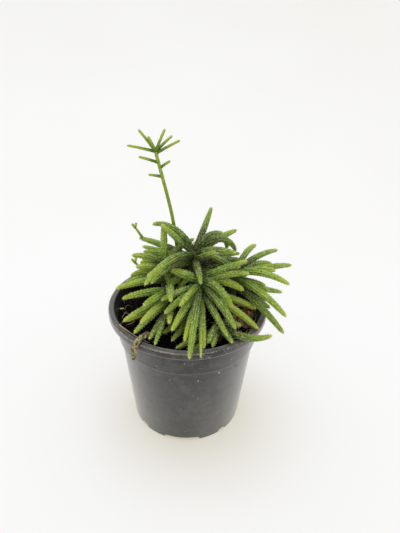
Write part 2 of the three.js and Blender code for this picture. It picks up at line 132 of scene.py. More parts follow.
def fill(tree, node, inputs):
    """Sets a node's inputs: another node's socket is linked, and a plain value is set on the input itself."""
    for key, value in inputs.items():
        if isinstance(value, bpy.types.NodeSocket):
            tree.links.new(value, node.inputs[key])
        else:
            node.inputs[key].default_value = value


def add_node(tree, kind, inputs=None, **settings):
    """A node with its settings and its inputs."""
    node = tree.nodes.new(kind)
    for key, value in settings.items():
        setattr(node, key, value)
    fill(tree, node, inputs or {})
    return node


def mix_colour(tree, factor, a, b):
    """Colour a, with colour b over it as far as the factor says."""
    node = add_node(tree, "ShaderNodeMix", data_type="RGBA", blend_type="MIX")
    fill(tree, node, {0: factor, 6: a, 7: b})
    return node.outputs[2]


def lay_over(tree, colour, *layers):
    """A colour with others laid over it in their order. Each layer is its mask and its colour."""
    for mask, layer in layers:
        colour = mix_colour(tree, mask, colour, layer)
    return colour


def calculate(tree, operation, *values):
    """One Math node's result."""
    node = add_node(tree, "ShaderNodeMath", operation=operation)
    fill(tree, node, dict(enumerate(values)))
    return node.outputs[0]


def times(tree, first, *others):
    """The product of several values."""
    for other in others:
        first = calculate(tree, "MULTIPLY", first, other)
    return first


def remap(tree, value, low, high, to_low=0.0, to_high=1.0):
    """A value's stretch from low to high, turned to the stretch from to_low to to_high and held there."""
    inputs = {"Value": value, "From Min": low, "From Max": high, "To Min": to_low, "To Max": to_high}
    return add_node(tree, "ShaderNodeMapRange", inputs).outputs[0]


print("helpers for nodes:", [helper.__name__ for helper in (fill, add_node, lay_over, times, remap)])

# %% [markdown]
# ## Stage
# A product shot is lit so softly that shadows hardly show. The floor could be one large plane, but its far
# edge would show as a line. A shallow white bowl is used, like the sweep of paper in a studio: its flat
# middle is the floor, and it rises so gently that no line shows from any side. The paper glows a little by
# itself, so the shadow at the pot's foot stays faint. The sky above it is brightest overhead, so that the
# tops of the stems are lighter than their sides, and one wide softbox above and a little behind draws a
# soft shadow to the front.

# %% Bowl of paper
FLAT_RADIUS = 0.43
CURVE_RADIUS = 1.3
CURVE_POINTS = 25
WALL_TOP = 1.7
BOWL_STEPS = 96
PAPER = (0.38, 0.43, 0.57, 1)
PAPER_SHADE = (0.365, 0.41, 0.54, 1)
PAPER_GLOW = (0.465, 0.41, 0.255, 1)
PAPER_ROUGHNESS = 0.8

bowl_section = [(0.0, 0.0), (0.2, 0.0)] + [
    (FLAT_RADIUS + CURVE_RADIUS * math.sin(t), CURVE_RADIUS * (1 - math.cos(t)))
    for t in np.linspace(0, math.pi / 2, CURVE_POINTS)
] + [(FLAT_RADIUS + CURVE_RADIUS, WALL_TOP)]
paper_material, tree, shader = new_material("floor_paper")
grain = add_node(tree, "ShaderNodeTexNoise", {"Scale": 9.0, "Detail": 4.0})
fill(tree, shader, {
    "Base Color": mix_colour(tree, remap(tree, grain.outputs["Fac"], 0.3, 0.7), PAPER, PAPER_SHADE),
    "Roughness": PAPER_ROUGHNESS,
    "Emission Color": PAPER_GLOW,
    "Emission Strength": 1.0,
})
floor_mesh = mesh_from(spin_section(bowl_section, BOWL_STEPS, closed=False), "floor")
floor = add_object("floor", floor_mesh, paper_material)
print("floor faces:", len(floor_mesh.polygons))

# %% Sky and softbox
SKY_LOW, SKY_HIGH = 0.28, 1.42
SOFTBOX_PLACE = Vector((-0.10, 0.20, 1.20))
SOFTBOX_AIM = Vector((0, 0, 0.1))
SOFTBOX_SIZE = 0.7
SOFTBOX_WATTS = 4.0

world = bpy.data.worlds.new("studio")
bpy.context.scene.world = world
world.use_nodes = True
tree = world.node_tree
sky_place = add_node(tree, "ShaderNodeTexCoord").outputs["Generated"]
sky_height = add_node(tree, "ShaderNodeSeparateXYZ", {"Vector": sky_place}).outputs["Z"]
fill(tree, tree.nodes["Background"], {
    "Color": (1.0, 1.0, 1.0, 1),
    "Strength": remap(tree, sky_height, 0.0, 1.0, SKY_LOW, SKY_HIGH),
})
bpy.context.scene.view_settings.view_transform = "Standard"

softbox_data = bpy.data.lights.new("top_light", "AREA")
softbox_data.size = SOFTBOX_SIZE
softbox_data.energy = SOFTBOX_WATTS
softbox = bpy.data.objects.new("top_light", softbox_data)
bpy.context.scene.collection.objects.link(softbox)
softbox.location = SOFTBOX_PLACE
softbox.rotation_mode = "QUATERNION"
softbox.rotation_quaternion = (SOFTBOX_AIM - SOFTBOX_PLACE).to_track_quat("-Z", "Y")
print("softbox above the surface in m:", round(softbox.location.z, 2))

# %% [markdown]
# ## Effects that several materials share
# Three node groups are built once and placed in each material with its own values. `specks` puts a sharp
# grain where a fine noise is highest, for dust on plastic and pale bits in soil. `mottle` is a soft
# two-scale variation, because nothing that grows or is moulded has one even colour. `fine_relief` is the
# height of a fine grain for Bump.

# %% Shared node groups
def new_group(name, inputs, output):
    """A group with float inputs, as name and default, and one output: its tree, its two ends and a place."""
    tree = bpy.data.node_groups.new(name, "ShaderNodeTree")
    for socket, default in inputs:
        made = tree.interface.new_socket(socket, in_out="INPUT", socket_type="NodeSocketFloat")
        made.default_value = default
    tree.interface.new_socket(output, in_out="OUTPUT", socket_type="NodeSocketFloat")
    place = add_node(tree, "ShaderNodeTexCoord").outputs["Object"]
    return tree, tree.nodes.new("NodeGroupInput").outputs, tree.nodes.new("NodeGroupOutput"), place


def noise_at(tree, place, scale, **detail):
    """A noise texture's value at a place."""
    return add_node(tree, "ShaderNodeTexNoise", {"Vector": place, "Scale": scale, **detail}).outputs["Fac"]


grain_inputs = [("Scale", 400.0), ("Least", 0.7), ("Most", 0.74)]
specks_group, given, out, place = new_group("specks", grain_inputs, "Mask")
grain = noise_at(specks_group, place, given["Scale"], Detail=2.0)
fill(specks_group, out, {"Mask": remap(specks_group, grain, given["Least"], given["Most"])})

mottle_group, given, out, place = new_group("mottle", [("Scale", 60.0), ("Fine Scale", 400.0)], "Value")
coarse = noise_at(mottle_group, place, given["Scale"])
both = calculate(mottle_group, "ADD", coarse, noise_at(mottle_group, place, given["Fine Scale"]))
fill(mottle_group, out, {"Value": remap(mottle_group, both, 0.75, 1.25)})

relief_group, given, out, place = new_group("fine_relief", [("Scale", 900.0)], "Height")
fill(relief_group, out, {"Height": noise_at(relief_group, place, given["Scale"], Detail=5.0)})
print("groups:", [group.name for group in bpy.data.node_groups])


# %% The groups in use
def specked(tree, scale, least, most):
    """The mask of sharp grains in a material."""
    inputs = {"Scale": scale, "Least": least, "Most": most}
    return add_node(tree, "ShaderNodeGroup", inputs, node_tree=specks_group).outputs["Mask"]


def mottled(tree, scale, fine_scale):
    """The soft variation in a material."""
    inputs = {"Scale": scale, "Fine Scale": fine_scale}
    return add_node(tree, "ShaderNodeGroup", inputs, node_tree=mottle_group).outputs["Value"]


def add_bump(tree, shader, scale, strength, depth):
    """Feeds a fine grain to the shader's normal. The depth is in metres."""
    height = add_node(tree, "ShaderNodeGroup", {"Scale": scale}, node_tree=relief_group).outputs["Height"]
    bump = add_node(tree, "ShaderNodeBump", {"Height": height, "Strength": strength, "Distance": depth})
    fill(tree, shader, {"Normal": bump.outputs["Normal"]})


def mottled_material(name, dark, light, scales, roughness, relief=None):
    """A matte material between two colours. Relief is its fine grain's scale, strength and depth."""
    material, tree, shader = new_material(name)
    colour = mix_colour(tree, mottled(tree, *scales), dark, light)
    fill(tree, shader, {"Base Color": colour, "Roughness": roughness})
    if relief:
        add_bump(tree, shader, *relief)
    return material


print("ready-made looks:", [look.__name__ for look in (specked, mottled, add_bump, mottled_material)])

# %% [markdown]
# ## The pot
# The real pot is injection moulded polypropylene, about a millimetre thick, with a turned lip, a flared
# band, a small shoulder and a foot with notches for drainage. It could be a solidified cone, but its
# section has its own shape on both sides, so a closed profile is drawn once and spun. The notches are
# raised into the foot afterwards by lifting the points near the surface, which keeps the spun mesh whole.
# The attribute `inner_side` marks the inside, which is painted darker there as painted shade.

# %% Pot sizes in mm
POT_HEIGHT = 92
LIP_RADIUS = 54
LIP_HEIGHT = 5
BAND_TOP_RADIUS = 49.4
SHOULDER_HEIGHT = 70
BAND_FOOT_RADIUS = 48.1
BODY_TOP_RADIUS = 46.5
FOOT_RADIUS = 39.4
WALL = 1.3
FLOOR_HEIGHT = 3.4
FLOOR_THICKNESS = 1.6
FOOT_RING = 3.2
PAD_RADIUS = 14
PAD_SLOPE = 2
# A section stays this far off the axis, so that the spun body has no crowded point in its middle.
AXIS_GAP = 0.3
FOOT_ROUND = 0.9
SHOULDER_ROUND = 0.6
BAND_ROUND = 0.4
LIP_ROUND = 0.9
LIP_SIDE_ROUND = 1.0
POT_STEPS = 256

lip_foot = POT_HEIGHT - LIP_HEIGHT
foot_inside = FOOT_RADIUS - FOOT_RING
floor_top = FLOOR_HEIGHT + FLOOR_THICKNESS
floor_edge = FOOT_RADIUS - WALL + 0.4
print("lip foot, foot's inside and floor's top:", lip_foot, round(foot_inside, 1), round(floor_top, 1))


# %% Pot profile
def arc(centre_r, centre_z, radius, start, end, steps):
    """Points on an arc of a section, as distance from the axis and height, with angles in degrees."""
    turns = np.radians(np.linspace(start, end, steps + 1))
    return [(centre_r + radius * math.cos(t), centre_z + radius * math.sin(t)) for t in turns]


def path(*stops):
    """Points along straight pieces, without the last. A stop has its place and its number of steps onward."""
    rows = []
    for (r, z, steps), (next_r, next_z, *_) in zip(stops, stops[1:]):
        rows += [(r + (next_r - r) * k / steps, z + (next_z - z) * k / steps) for k in range(steps)]
    return rows


# The small numbers are offsets in mm that round or break a corner.
pot_profile = (
    path((AXIS_GAP, 0, 3), (PAD_RADIUS, 0, 2), (PAD_RADIUS + PAD_SLOPE, FLOOR_HEIGHT, 4),
         (foot_inside, FLOOR_HEIGHT, 3), (foot_inside, 0, 2), (FOOT_RADIUS - FOOT_ROUND, 0))
    + arc(FOOT_RADIUS - FOOT_ROUND, FOOT_ROUND, FOOT_ROUND, -90, -5, 5)
    + path((FOOT_RADIUS + 0.02, 1.4, 3), (FOOT_RADIUS + 0.2, 3.0, 24), (BODY_TOP_RADIUS, SHOULDER_HEIGHT - 1))
    + arc(BODY_TOP_RADIUS + SHOULDER_ROUND, SHOULDER_HEIGHT - SHOULDER_ROUND, SHOULDER_ROUND, 180, 100, 3)
    + arc(BAND_FOOT_RADIUS - BAND_ROUND, SHOULDER_HEIGHT + 0.5, BAND_ROUND, -80, 0, 3)
    + path((BAND_FOOT_RADIUS + 0.05, SHOULDER_HEIGHT + 1.2, 6), (BAND_TOP_RADIUS, lip_foot - 0.5))
    + arc(BAND_TOP_RADIUS + SHOULDER_ROUND, lip_foot - SHOULDER_ROUND, SHOULDER_ROUND, 180, 90, 3)
    + arc(LIP_RADIUS - LIP_SIDE_ROUND, lip_foot + LIP_SIDE_ROUND, LIP_SIDE_ROUND, -90, 0, 4)
    + arc(LIP_RADIUS - LIP_ROUND, POT_HEIGHT - LIP_ROUND, LIP_ROUND, 0, 90, 6)
    + arc(BAND_TOP_RADIUS + 1.4, POT_HEIGHT - LIP_SIDE_ROUND, LIP_SIDE_ROUND, 90, 170, 5)
    + path((BAND_TOP_RADIUS - WALL, lip_foot - 0.6, 6), (BAND_FOOT_RADIUS - WALL, SHOULDER_HEIGHT + 0.6, 2),
           (BODY_TOP_RADIUS - WALL, SHOULDER_HEIGHT - 1.4, 8), (floor_edge, floor_top, 4),
           (PAD_RADIUS + 0.4, floor_top, 2), (PAD_RADIUS - PAD_SLOPE, FLOOR_THICKNESS, 3),
           (AXIS_GAP, FLOOR_THICKNESS))
    + [(AXIS_GAP, FLOOR_THICKNESS)]
)
print("pot section points:", len(pot_profile))

# %% Pot mesh, its notches and its inside
NOTCH_FIRST_HEADING = 265
NOTCH_WIDE_HALF = 19
NOTCH_NARROW_HALF = 5
NOTCH_HEIGHT = 2.6
NOTCH_CORNER = 3.0
INSIDE_LIP_RADIUS = 50.6
INSIDE_BLEND = 0.5
WALL_HEIGHTS = (FLOOR_HEIGHT, SHOULDER_HEIGHT - 1, SHOULDER_HEIGHT + 1, lip_foot)
WALL_RADII = (FOOT_RADIUS, BODY_TOP_RADIUS, BAND_FOOT_RADIUS, BAND_TOP_RADIUS)


def notch_height(heading):
    """How high the foot's notch reaches at a heading, in mm: a flat arch with rounded corners."""
    height = 0.0
    for quarter in range(4):
        for offset, half in ((0, NOTCH_WIDE_HALF), (45, NOTCH_NARROW_HALF)):
            centre = NOTCH_FIRST_HEADING + 90 * quarter + offset
            away = abs((heading - centre + 180) % 360 - 180)
            if away < half:
                height = NOTCH_HEIGHT * min(1, (half - away) / NOTCH_CORNER) ** 0.5
    return height


def inside_share(place):
    """1 on the pot's inside and 0 on its outside, with a short blend on top of the lip."""
    x, y, z = place / MM
    edge = INSIDE_LIP_RADIUS if z > lip_foot else np.interp(z, WALL_HEIGHTS, WALL_RADII) - WALL / 2
    return min(1.0, max(0.0, (edge - math.hypot(x, y)) / INSIDE_BLEND))


bm = spin_section(pot_profile, POT_STEPS, MM)
for vert in bm.verts:
    x, y, z = vert.co / MM
    if math.hypot(x, y) > foot_inside - 0.1 and z < 3.0:
        vert.co.z = max(z, notch_height(math.degrees(math.atan2(y, x)))) * MM
pot_mesh = mesh_from(bm, "pot")
inner_side = pot_mesh.attributes.new("inner_side", "FLOAT", "POINT")
inner_side.data.foreach_set("value", [inside_share(vert.co) for vert in pot_mesh.vertices])
print("pot faces:", len(pot_mesh.polygons))

# %% [markdown]
# ## Pot plastic
# Recycled black polypropylene is dark grey, half glossy, and never clean. Faint flow marks run round the
# wall, a thin uneven film of dust and smudges lies on it with fine pale grains, and soil smears sit under
# the lip. The lip's outer edge is painted pale, partly as wear and partly as a painted highlight on its
# rounded edge. A painted sheen, a pale colour that follows Layer Weight where the wall turns away, stands in
# for the reflection of the bright surroundings. Inside, the wall is painted darker as painted shade. The
# marks could be painted by hand, but noise on object coordinates keeps their size all round.

# %% Pot material
POT_DARK = (0.007, 0.007, 0.007, 1)
POT_LIGHT = (0.027, 0.026, 0.025, 1)
FLOW_COLOUR = (0.072, 0.072, 0.070, 1)
DUST_COLOUR = (0.33, 0.31, 0.27, 1)
# Painted sheen: a pale colour mixed into the base colour by Layer Weight where the wall turns away.
PAINTED_SHEEN_COLOUR = (0.60, 0.595, 0.585, 1)
PAINTED_SHEEN_POWER = 2.3
SMEAR_COLOUR = (0.10, 0.075, 0.05, 1)
SMEAR_ZONE = (0.074, 0.087)
# Painted shade: the inside of the pot is darkened towards this colour.
INNER_PAINTED_SHADE = (0.004, 0.0035, 0.003, 1)
# The lip's rounded outer edge is painted pale here: partly wear, partly a painted highlight.
EDGE_WEAR_AND_HIGHLIGHT_HEIGHTS = (0.0909, 0.0915)
EDGE_WEAR_AND_HIGHLIGHT_RADII = (0.0531, 0.0535)


def attribute(tree, name):
    """A float that the mesh carries at each point."""
    return add_node(tree, "ShaderNodeAttribute", attribute_name=name).outputs["Fac"]


pot_material, tree, shader = new_material("pot_plastic")
place = add_node(tree, "ShaderNodeTexCoord").outputs["Object"]
height = add_node(tree, "ShaderNodeSeparateXYZ", {"Vector": place}).outputs["Z"]
flat = add_node(tree, "ShaderNodeVectorMath", {0: place, 1: (1.0, 1.0, 0.0)}, operation="MULTIPLY").outputs[0]
from_axis = add_node(tree, "ShaderNodeVectorMath", {0: flat}, operation="LENGTH").outputs["Value"]
squeezed = add_node(tree, "ShaderNodeMapping", {"Vector": place, "Scale": (1.0, 1.0, 12.0)}).outputs["Vector"]
flow = noise_at(tree, squeezed, 55.0, Detail=4.0)
film = mottled(tree, 18.0, 900.0)
smudges = mottled(tree, 26.0, 150.0)
smear_noise = specked(tree, 90.0, 0.56, 0.70)
lip_wear_and_highlight = times(tree, remap(tree, height, *EDGE_WEAR_AND_HIGHLIGHT_HEIGHTS), remap(tree, from_axis, *EDGE_WEAR_AND_HIGHLIGHT_RADII))
facing = add_node(tree, "ShaderNodeLayerWeight").outputs["Facing"]
plastic = lay_over(
    tree,
    mix_colour(tree, mottled(tree, 35.0, 260.0), POT_DARK, POT_LIGHT),
    (remap(tree, flow, 0.50, 0.85, 0.0, 0.30), FLOW_COLOUR),
    (times(tree, film, 0.05), DUST_COLOUR),
    (remap(tree, smudges, 0.60, 1.05, 0.0, 0.10), DUST_COLOUR),
    (times(tree, specked(tree, 620.0, 0.73, 0.77), 0.8), DUST_COLOUR),
    (times(tree, smear_noise, remap(tree, height, *SMEAR_ZONE), 0.75), SMEAR_COLOUR),
    # Pale lip edge: partly wear, partly a painted highlight.
    (times(tree, lip_wear_and_highlight, remap(tree, film, 0.15, 0.75, 0.10, 0.75)), DUST_COLOUR),
    # Painted sheen, standing in for the reflection of the bright surroundings at grazing angles.
    (calculate(tree, "POWER", facing, PAINTED_SHEEN_POWER), PAINTED_SHEEN_COLOUR),
    # Painted shade on the inside of the pot.
    (times(tree, attribute(tree, "inner_side"), 0.9), INNER_PAINTED_SHADE),
)
fill(tree, shader, {
    "Base Color": plastic,
    "Roughness": remap(tree, mottled(tree, 25.0, 500.0), 0.0, 1.0, 0.34, 0.52),
    "Specular IOR Level": 0.17,
})
add_bump(tree, shader, 1400.0, 0.25, 0.0002)
pot = add_object("nursery_pot", pot_mesh, pot_material)
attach(pot, "root")
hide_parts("pot")
print("pot material nodes:", len(tree.nodes))

# %% [markdown]
# ## Soil
# Potting mix is peat and coir crumbs with a few grains of white perlite. One bumpy body gives its mass, and
# small lumps, grains and fibres that lie on it give its broken edge. The body is spun like the pot and then
# pushed up and down by noise. The lumps are one small icosphere, repeated.

# %% Soil body, in mm
SOIL_FOOT = 8
SOIL_FOOT_RADIUS = 36
SOIL_KNEE = (43, 60)
SOIL_LEVEL = 83.5
SOIL_TOP_RADIUS = 47.6
SOIL_WAVE = 1.1
SOIL_ROUGH = 1.1
SOIL_CRUMB = 0.35
SOIL_STEPS = 220


def soil_height(x, y):
    """The soil's surface in mm at a place in mm: two crossed waves, and crumb from noise."""
    wave = 0.6 * math.sin(x * 0.31 + 1.3) * math.cos(y * 0.27) + 0.4 * math.sin(x * 0.13 - y * 0.53)
    rough = noise.fractal(Vector((x, y, 0)) * SOIL_CRUMB, 0.7, 2.1, 5)
    return SOIL_LEVEL + SOIL_WAVE * wave + SOIL_ROUGH * rough


soil_profile = path(
    (AXIS_GAP, SOIL_FOOT, 3), (SOIL_FOOT_RADIUS, SOIL_FOOT, 4), (*SOIL_KNEE, 4),
    (SOIL_TOP_RADIUS, SOIL_LEVEL - 3, 2), (SOIL_TOP_RADIUS, SOIL_LEVEL, 80), (AXIS_GAP, SOIL_LEVEL),
) + [(AXIS_GAP, SOIL_LEVEL)]
bm = spin_section(soil_profile, SOIL_STEPS, MM)
for vert in bm.verts:
    x, y, z = vert.co / MM
    if z > SOIL_LEVEL - 1:
        vert.co.z = soil_height(x, y) * MM
soil_mesh = mesh_from(bm, "soil")
print("soil faces:", len(soil_mesh.polygons))

# %% Soil material
SOIL_DARK = (0.0015, 0.0012, 0.0008, 1)
SOIL_LIGHT = (0.009, 0.0065, 0.0035, 1)
BIT_COLOUR = (0.22, 0.17, 0.11, 1)


def crumb_material(name, dark, light, scale, pale_amount):
    """A crumbly matte material between two colours, with pale bits."""
    material, tree, shader = new_material(name)
    base = mix_colour(tree, mottled(tree, scale, scale * 7), dark, light)
    bits = times(tree, specked(tree, scale * 3, 0.66, 0.72), pale_amount)
    colour = lay_over(tree, base, (bits, BIT_COLOUR))
    fill(tree, shader, {"Base Color": colour, "Roughness": 0.95, "Specular IOR Level": 0.06})
    add_bump(tree, shader, scale * 6, 0.9, 0.0006)
    return material


soil_material = crumb_material("potting_soil", SOIL_DARK, SOIL_LIGHT, 160.0, 0.22)
soil = add_object("soil_body", soil_mesh, soil_material)
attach(soil, "root")
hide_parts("soil")
print("soil material:", soil_material.name)


# %% A way to scatter one small shape many times
SCATTER_SEED = 7
random = np.random.default_rng(SCATTER_SEED)


def icosphere_mesh(name, subdivisions):
    """A unit ball with few faces."""
    bm = bmesh.new()
    bmesh.ops.create_icosphere(bm, subdivisions=subdivisions, radius=1)
    return mesh_from(bm, name)


def scatter(name, template, placements, material, smooth=True):
    """One piece with a copy of the template at each placement, a 3 by 4 array of turn and size and place."""
    bm = bmesh.new()
    for _ in placements:
        bm.from_mesh(template)
    mesh = mesh_from(bm, name, smooth)
    corners = np.array([vert.co[:] + (1.0,) for vert in template.vertices])
    mesh.vertices.foreach_set("co", np.einsum("nij,vj->nvi", np.array(placements), corners).ravel() * MM)
    mesh.update()
    piece = add_object(name, mesh, material)
    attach(piece, "root")
    print(name, "copies:", len(placements), "faces:", len(mesh.polygons))
    return piece


def random_turn():
    """A random 3 by 3 turn."""
    q, _ = np.linalg.qr(random.normal(size=(3, 3)))
    return q * np.sign(np.linalg.det(q))


def placed(turn, sizes, place):
    """A placement from a turn, three sizes in mm and a place in mm."""
    return np.hstack([turn * np.array(sizes), np.array(place, float).reshape(3, 1)])


ball = icosphere_mesh("ball", 1)
rough_ball = icosphere_mesh("rough_ball", 2)
print("ball and rough ball faces:", len(ball.polygons), len(rough_ball.polygons))

# %% Lumps and perlite on the soil, in mm
LUMP_COUNT = 2600
LUMP_SIZE, LUMP_EXTRA = 0.35, 1.1
PERLITE_COUNT = 9
PERLITE_SIZE, PERLITE_EXTRA = 0.35, 0.55
PERLITE_REACH = 45
PERLITE_COLOURS = (0.32, 0.28, 0.21, 1), (0.62, 0.58, 0.50, 1)
SOIL_REACH = 47.0


def soil_spot(reach):
    """An even random place on the soil."""
    r = reach * math.sqrt(random.random())
    turn = random.random() * 2 * math.pi
    return r * math.cos(turn), r * math.sin(turn)


lumps = []
for _ in range(LUMP_COUNT):
    x, y = soil_spot(SOIL_REACH)
    size = LUMP_SIZE + LUMP_EXTRA * random.random() ** 3
    sizes = size * np.array([1.0, 0.6 + 0.5 * random.random(), 0.5 + 0.4 * random.random()])
    lumps.append(placed(random_turn(), sizes, (x, y, soil_height(x, y) + 0.2 * size)))
scatter("soil_lumps", ball, lumps, soil_material)

perlite_material = mottled_material("perlite", *PERLITE_COLOURS, (300.0, 1500.0), 0.9, (1500.0, 0.6, 0.0003))
grains = []
for _ in range(PERLITE_COUNT):
    x, y = soil_spot(PERLITE_REACH)
    size = PERLITE_SIZE + PERLITE_EXTRA * random.random()
    grains.append(placed(random_turn(), (size, size * 0.8, size * 0.7), (x, y, soil_height(x, y) + 0.4)))
scatter("perlite_grains", rough_ball, grains, perlite_material)

# %% [markdown]
# ## How the stems lie
# The CAD model grows each stem from a crown with a heading, a rise, a length and a droop, and then lets the
# stems push each other aside. The same rule is followed here, with the same numbers and the same seeded
# draws, so that the fine stems lie exactly where the CAD stems do. Only the skin on them is finer. A few
# more stems, the fillers, are grown last. They fill gaps low in the mop, behind and in front, where the
# rule leaves room for them.

# %% The plant's numbers
# Each stem is (mm below the crown, heading, rise, length in mm, droop), as in the CAD model, and a sixth
# number is how many times as thick it is as its cane's others. The first rows of a cane, as many as firm
# says, keep their places where stems meet. A cane's tint is how far its stems are along the row of greens:
# the inner canes stand in the shade, so their stems are painted darker as painted shade. The rows named in
# shade lie in deeper shade and are painted so much darker, as painted shade.
CANES = [
    dict(name="cane_centre", foot=(4, 7), crown=(4, 8, 128), girth=4.5, firm=14, tint=0.12, stems=[
        (0, 65, 30, 34, -15), (4, 145, 70, 41, 100), (2, 160, 35, 29, 0), (1, 45, 30, 30, 45),
        (2, 25, 55, 40, 130), (3, 35, 25, 36, 20), (3, 330, 40, 32, 45), (6, 325, 40, 20, 15),
        (4, 230, 35, 50, 70), (6, 225, 25, 40, 65), (8, 280, 20, 28, 50), (7, 145, 10, 48, 15),
        (8, 155, 5, 40, 5), (1, 40, 60, 42, 150), (9, 160, 15, 36, 20), (8, 105, 10, 34, 20),
        (10, 60, 5, 32, 20), (12, 175, 10, 36, 15), (11, 10, 10, 32, 25), (9, 195, 15, 38, 30),
    ], young=[(11, 160, 55, 11)]),
    dict(name="cane_front", foot=(8, -9), crown=(8, -10, 118), girth=4.5, firm=16, tint=0.30, stems=[
        (2, 165, 20, 19, 0, 1.25), (4, 262, -12, 54, 22), (12, 270, -10, 50, 10, 0.6), (10, 275, -15, 42, 15),
        (8, 295, -20, 40, 5), (4, 305, 0, 40, 40), (2, 310, 30, 30, 80), (0, 345, 30, 24, 55, 1.15),
        (5, 350, 40, 33, 40), (0, 350, 40, 31, 10), (3, 0, 45, 28, 40), (4, 240, 5, 26, 20),
        (6, 240, -10, 38, 20), (12, 350, 5, 38, 30), (10, 330, -10, 46, 25), (0, 170, 10, 20, 100, 0.7),
        (10, 255, -10, 40, 15), (8, 225, 5, 32, 25), (6, 200, 10, 30, 20),
    ], shade={1: 0.14}),
    dict(name="cane_right", foot=(28, 0), crown=(32, -2, 121), girth=4.4, firm=9, tint=0.22, stems=[
        (0, 60, 35, 30, 55), (2, 40, 20, 40, 35), (4, 30, 20, 30, 45), (6, 20, 10, 42, 20),
        (4, 330, 30, 38, 50), (14, 15, -15, 38, 5), (8, 310, 10, 46, 35), (12, 310, -10, 48, 20),
        (10, 330, 20, 22, 25), (8, 95, 20, 30, 30), (12, 60, 0, 32, 20), (10, 345, 5, 24, 30),
        (6, 195, 10, 26, 30), (16, 335, -10, 28, 15), (4, 0, 20, 26, 30), (2, 150, 25, 24, 20),
    ], shade={13: 0.14}),
    dict(name="cane_left", foot=(-15, 2), crown=(-16, 4, 123), girth=4.4, firm=8, tint=0.30, stems=[
        (0, 95, 35, 29, 0), (3, 180, 40, 21, 50), (4, 165, 10, 17, 25), (10, 125, 15, 32, 50),
        (10, 170, 15, 25, 55), (15, 215, 20, 37, 20), (10, 140, 10, 25, 55), (8, 290, 0, 24, 80),
        (6, 190, 20, 19, 25), (2, 30, 35, 26, 35), (16, 155, -10, 26, 10), (10, 110, 5, 32, 20),
        (12, 185, 0, 26, 15), (16, 95, -10, 28, 10),
    ], young=[(6, 160, 45, 8)]),
    dict(name="cane_front_left", foot=(-10, -18), crown=(-12, -13, 114), girth=4.4, firm=8, tint=0.32, stems=[
        (3, 185, 0, 31, 20), (4, 225, 10, 22, 20), (8, 210, -5, 34, 15), (8, 235, 0, 30, 10),
        (10, 230, -5, 34, 15), (14, 245, -10, 30, 5), (0, 275, 25, 22, 50), (12, 270, 5, 22, 10),
        (12, 255, -10, 34, 10, 0.8), (12, 200, -10, 30, 10, 0.8), (0, 50, 20, 20, 20),
    ], shade={5: 0.26, 8: 0.28}),
    dict(name="cane_low", foot=(19, -30), crown=(20, -28, 96), girth=4.1, firm=3, tint=0.13, stems=[
        (2, 315, -5, 44, -50), (2, 255, -5, 18, 10), (0, 245, 20, 18, 40), (5, 205, -5, 30, 10),
        (6, 225, -5, 24, 15), (0, 350, 10, 14, 25), (3, 285, 0, 20, 20),
    ]),
    dict(name="cane_back", foot=(4, 26), crown=(5, 27, 113), girth=4.5, firm=0, tint=0.12, stems=[
        (0, 60, 20, 32, 25), (2, 115, 20, 34, 30), (4, 165, 10, 34, 20), (5, 15, 15, 34, 20),
        (7, 90, 10, 38, 25), (9, 135, 5, 36, 20), (9, 40, 0, 38, 20), (13, 105, -10, 34, 15),
        (14, 70, -10, 34, 15), (13, 180, -5, 30, 10), (15, 0, -10, 30, 10), (16, 150, -15, 30, 10),
    ]),
]
# Each filler is its cane and the same five numbers.
FILLERS = [
    ("cane_back", 16, 0, 30, 34, 10), ("cane_back", 18, 20, 20, 34, 10), ("cane_back", 14, 338, 24, 26, 20),
    ("cane_front", 26, 238, 0, 34, 10), ("cane_front", 26, 222, 0, 32, 10),
]
# Fillers sit low and deep in the mop, so their tint is lowered by this much as painted shade.
FILLER_PAINTED_SHADE = 0.16
BEADS = 14
STEM_SEED = 20
STALK_RADIUS = 3.4
STALK_DEPTH = 14
SHOOT_FOOT = (-6, 24)
SHOOT_BEND = (-10, 24, 138)
SHOOT_TOP = (-21, 20, 191)
SHOOT_RADIUS = 1.25
CAD_SOIL_BUMP = 1.1
print("stems in all:", sum(len(cane["stems"]) for cane in CANES), "and fillers:", len(FILLERS))

# %% How stems make room for each other, in mm
GAP_BETWEEN_CANES = 0.9
GAP_IN_ONE_CANE = -1.6
FUSED_BEADS = 6
SETTLE_ROUNDS = 100
SETTLE_SHARE = 0.7
SOLID_GAP = 0.6
SHOOT_GAP = 0.6
FIRM_YIELD = 0.1
LIP_GUARD = 2.4
LIP_MIDDLE = 1.5
LIP_ZONE = 6
CROWN_REACH = 2


def drawer(seed):
    """A seeded draw from 0 to 1, the same as the CAD model's."""
    state = seed

    def draw():
        nonlocal state
        state = (state * 1664525 + 1013904223) & 0xFFFFFFFF
        return state / 4294967296

    return draw


print("first draw:", round(drawer(STEM_SEED)(), 4))


# %% Curves
ROOT_WIDTH, ROOT_WIDENING, FULL_FROM = 0.72, 0.28, 0.25
TAPER, TAPER_FROM, TAPER_REACH, TAPER_POWER = 0.42, 0.45, 0.55, 1.5
TIP_FROM, TIP_REACH = 0.93, 0.075


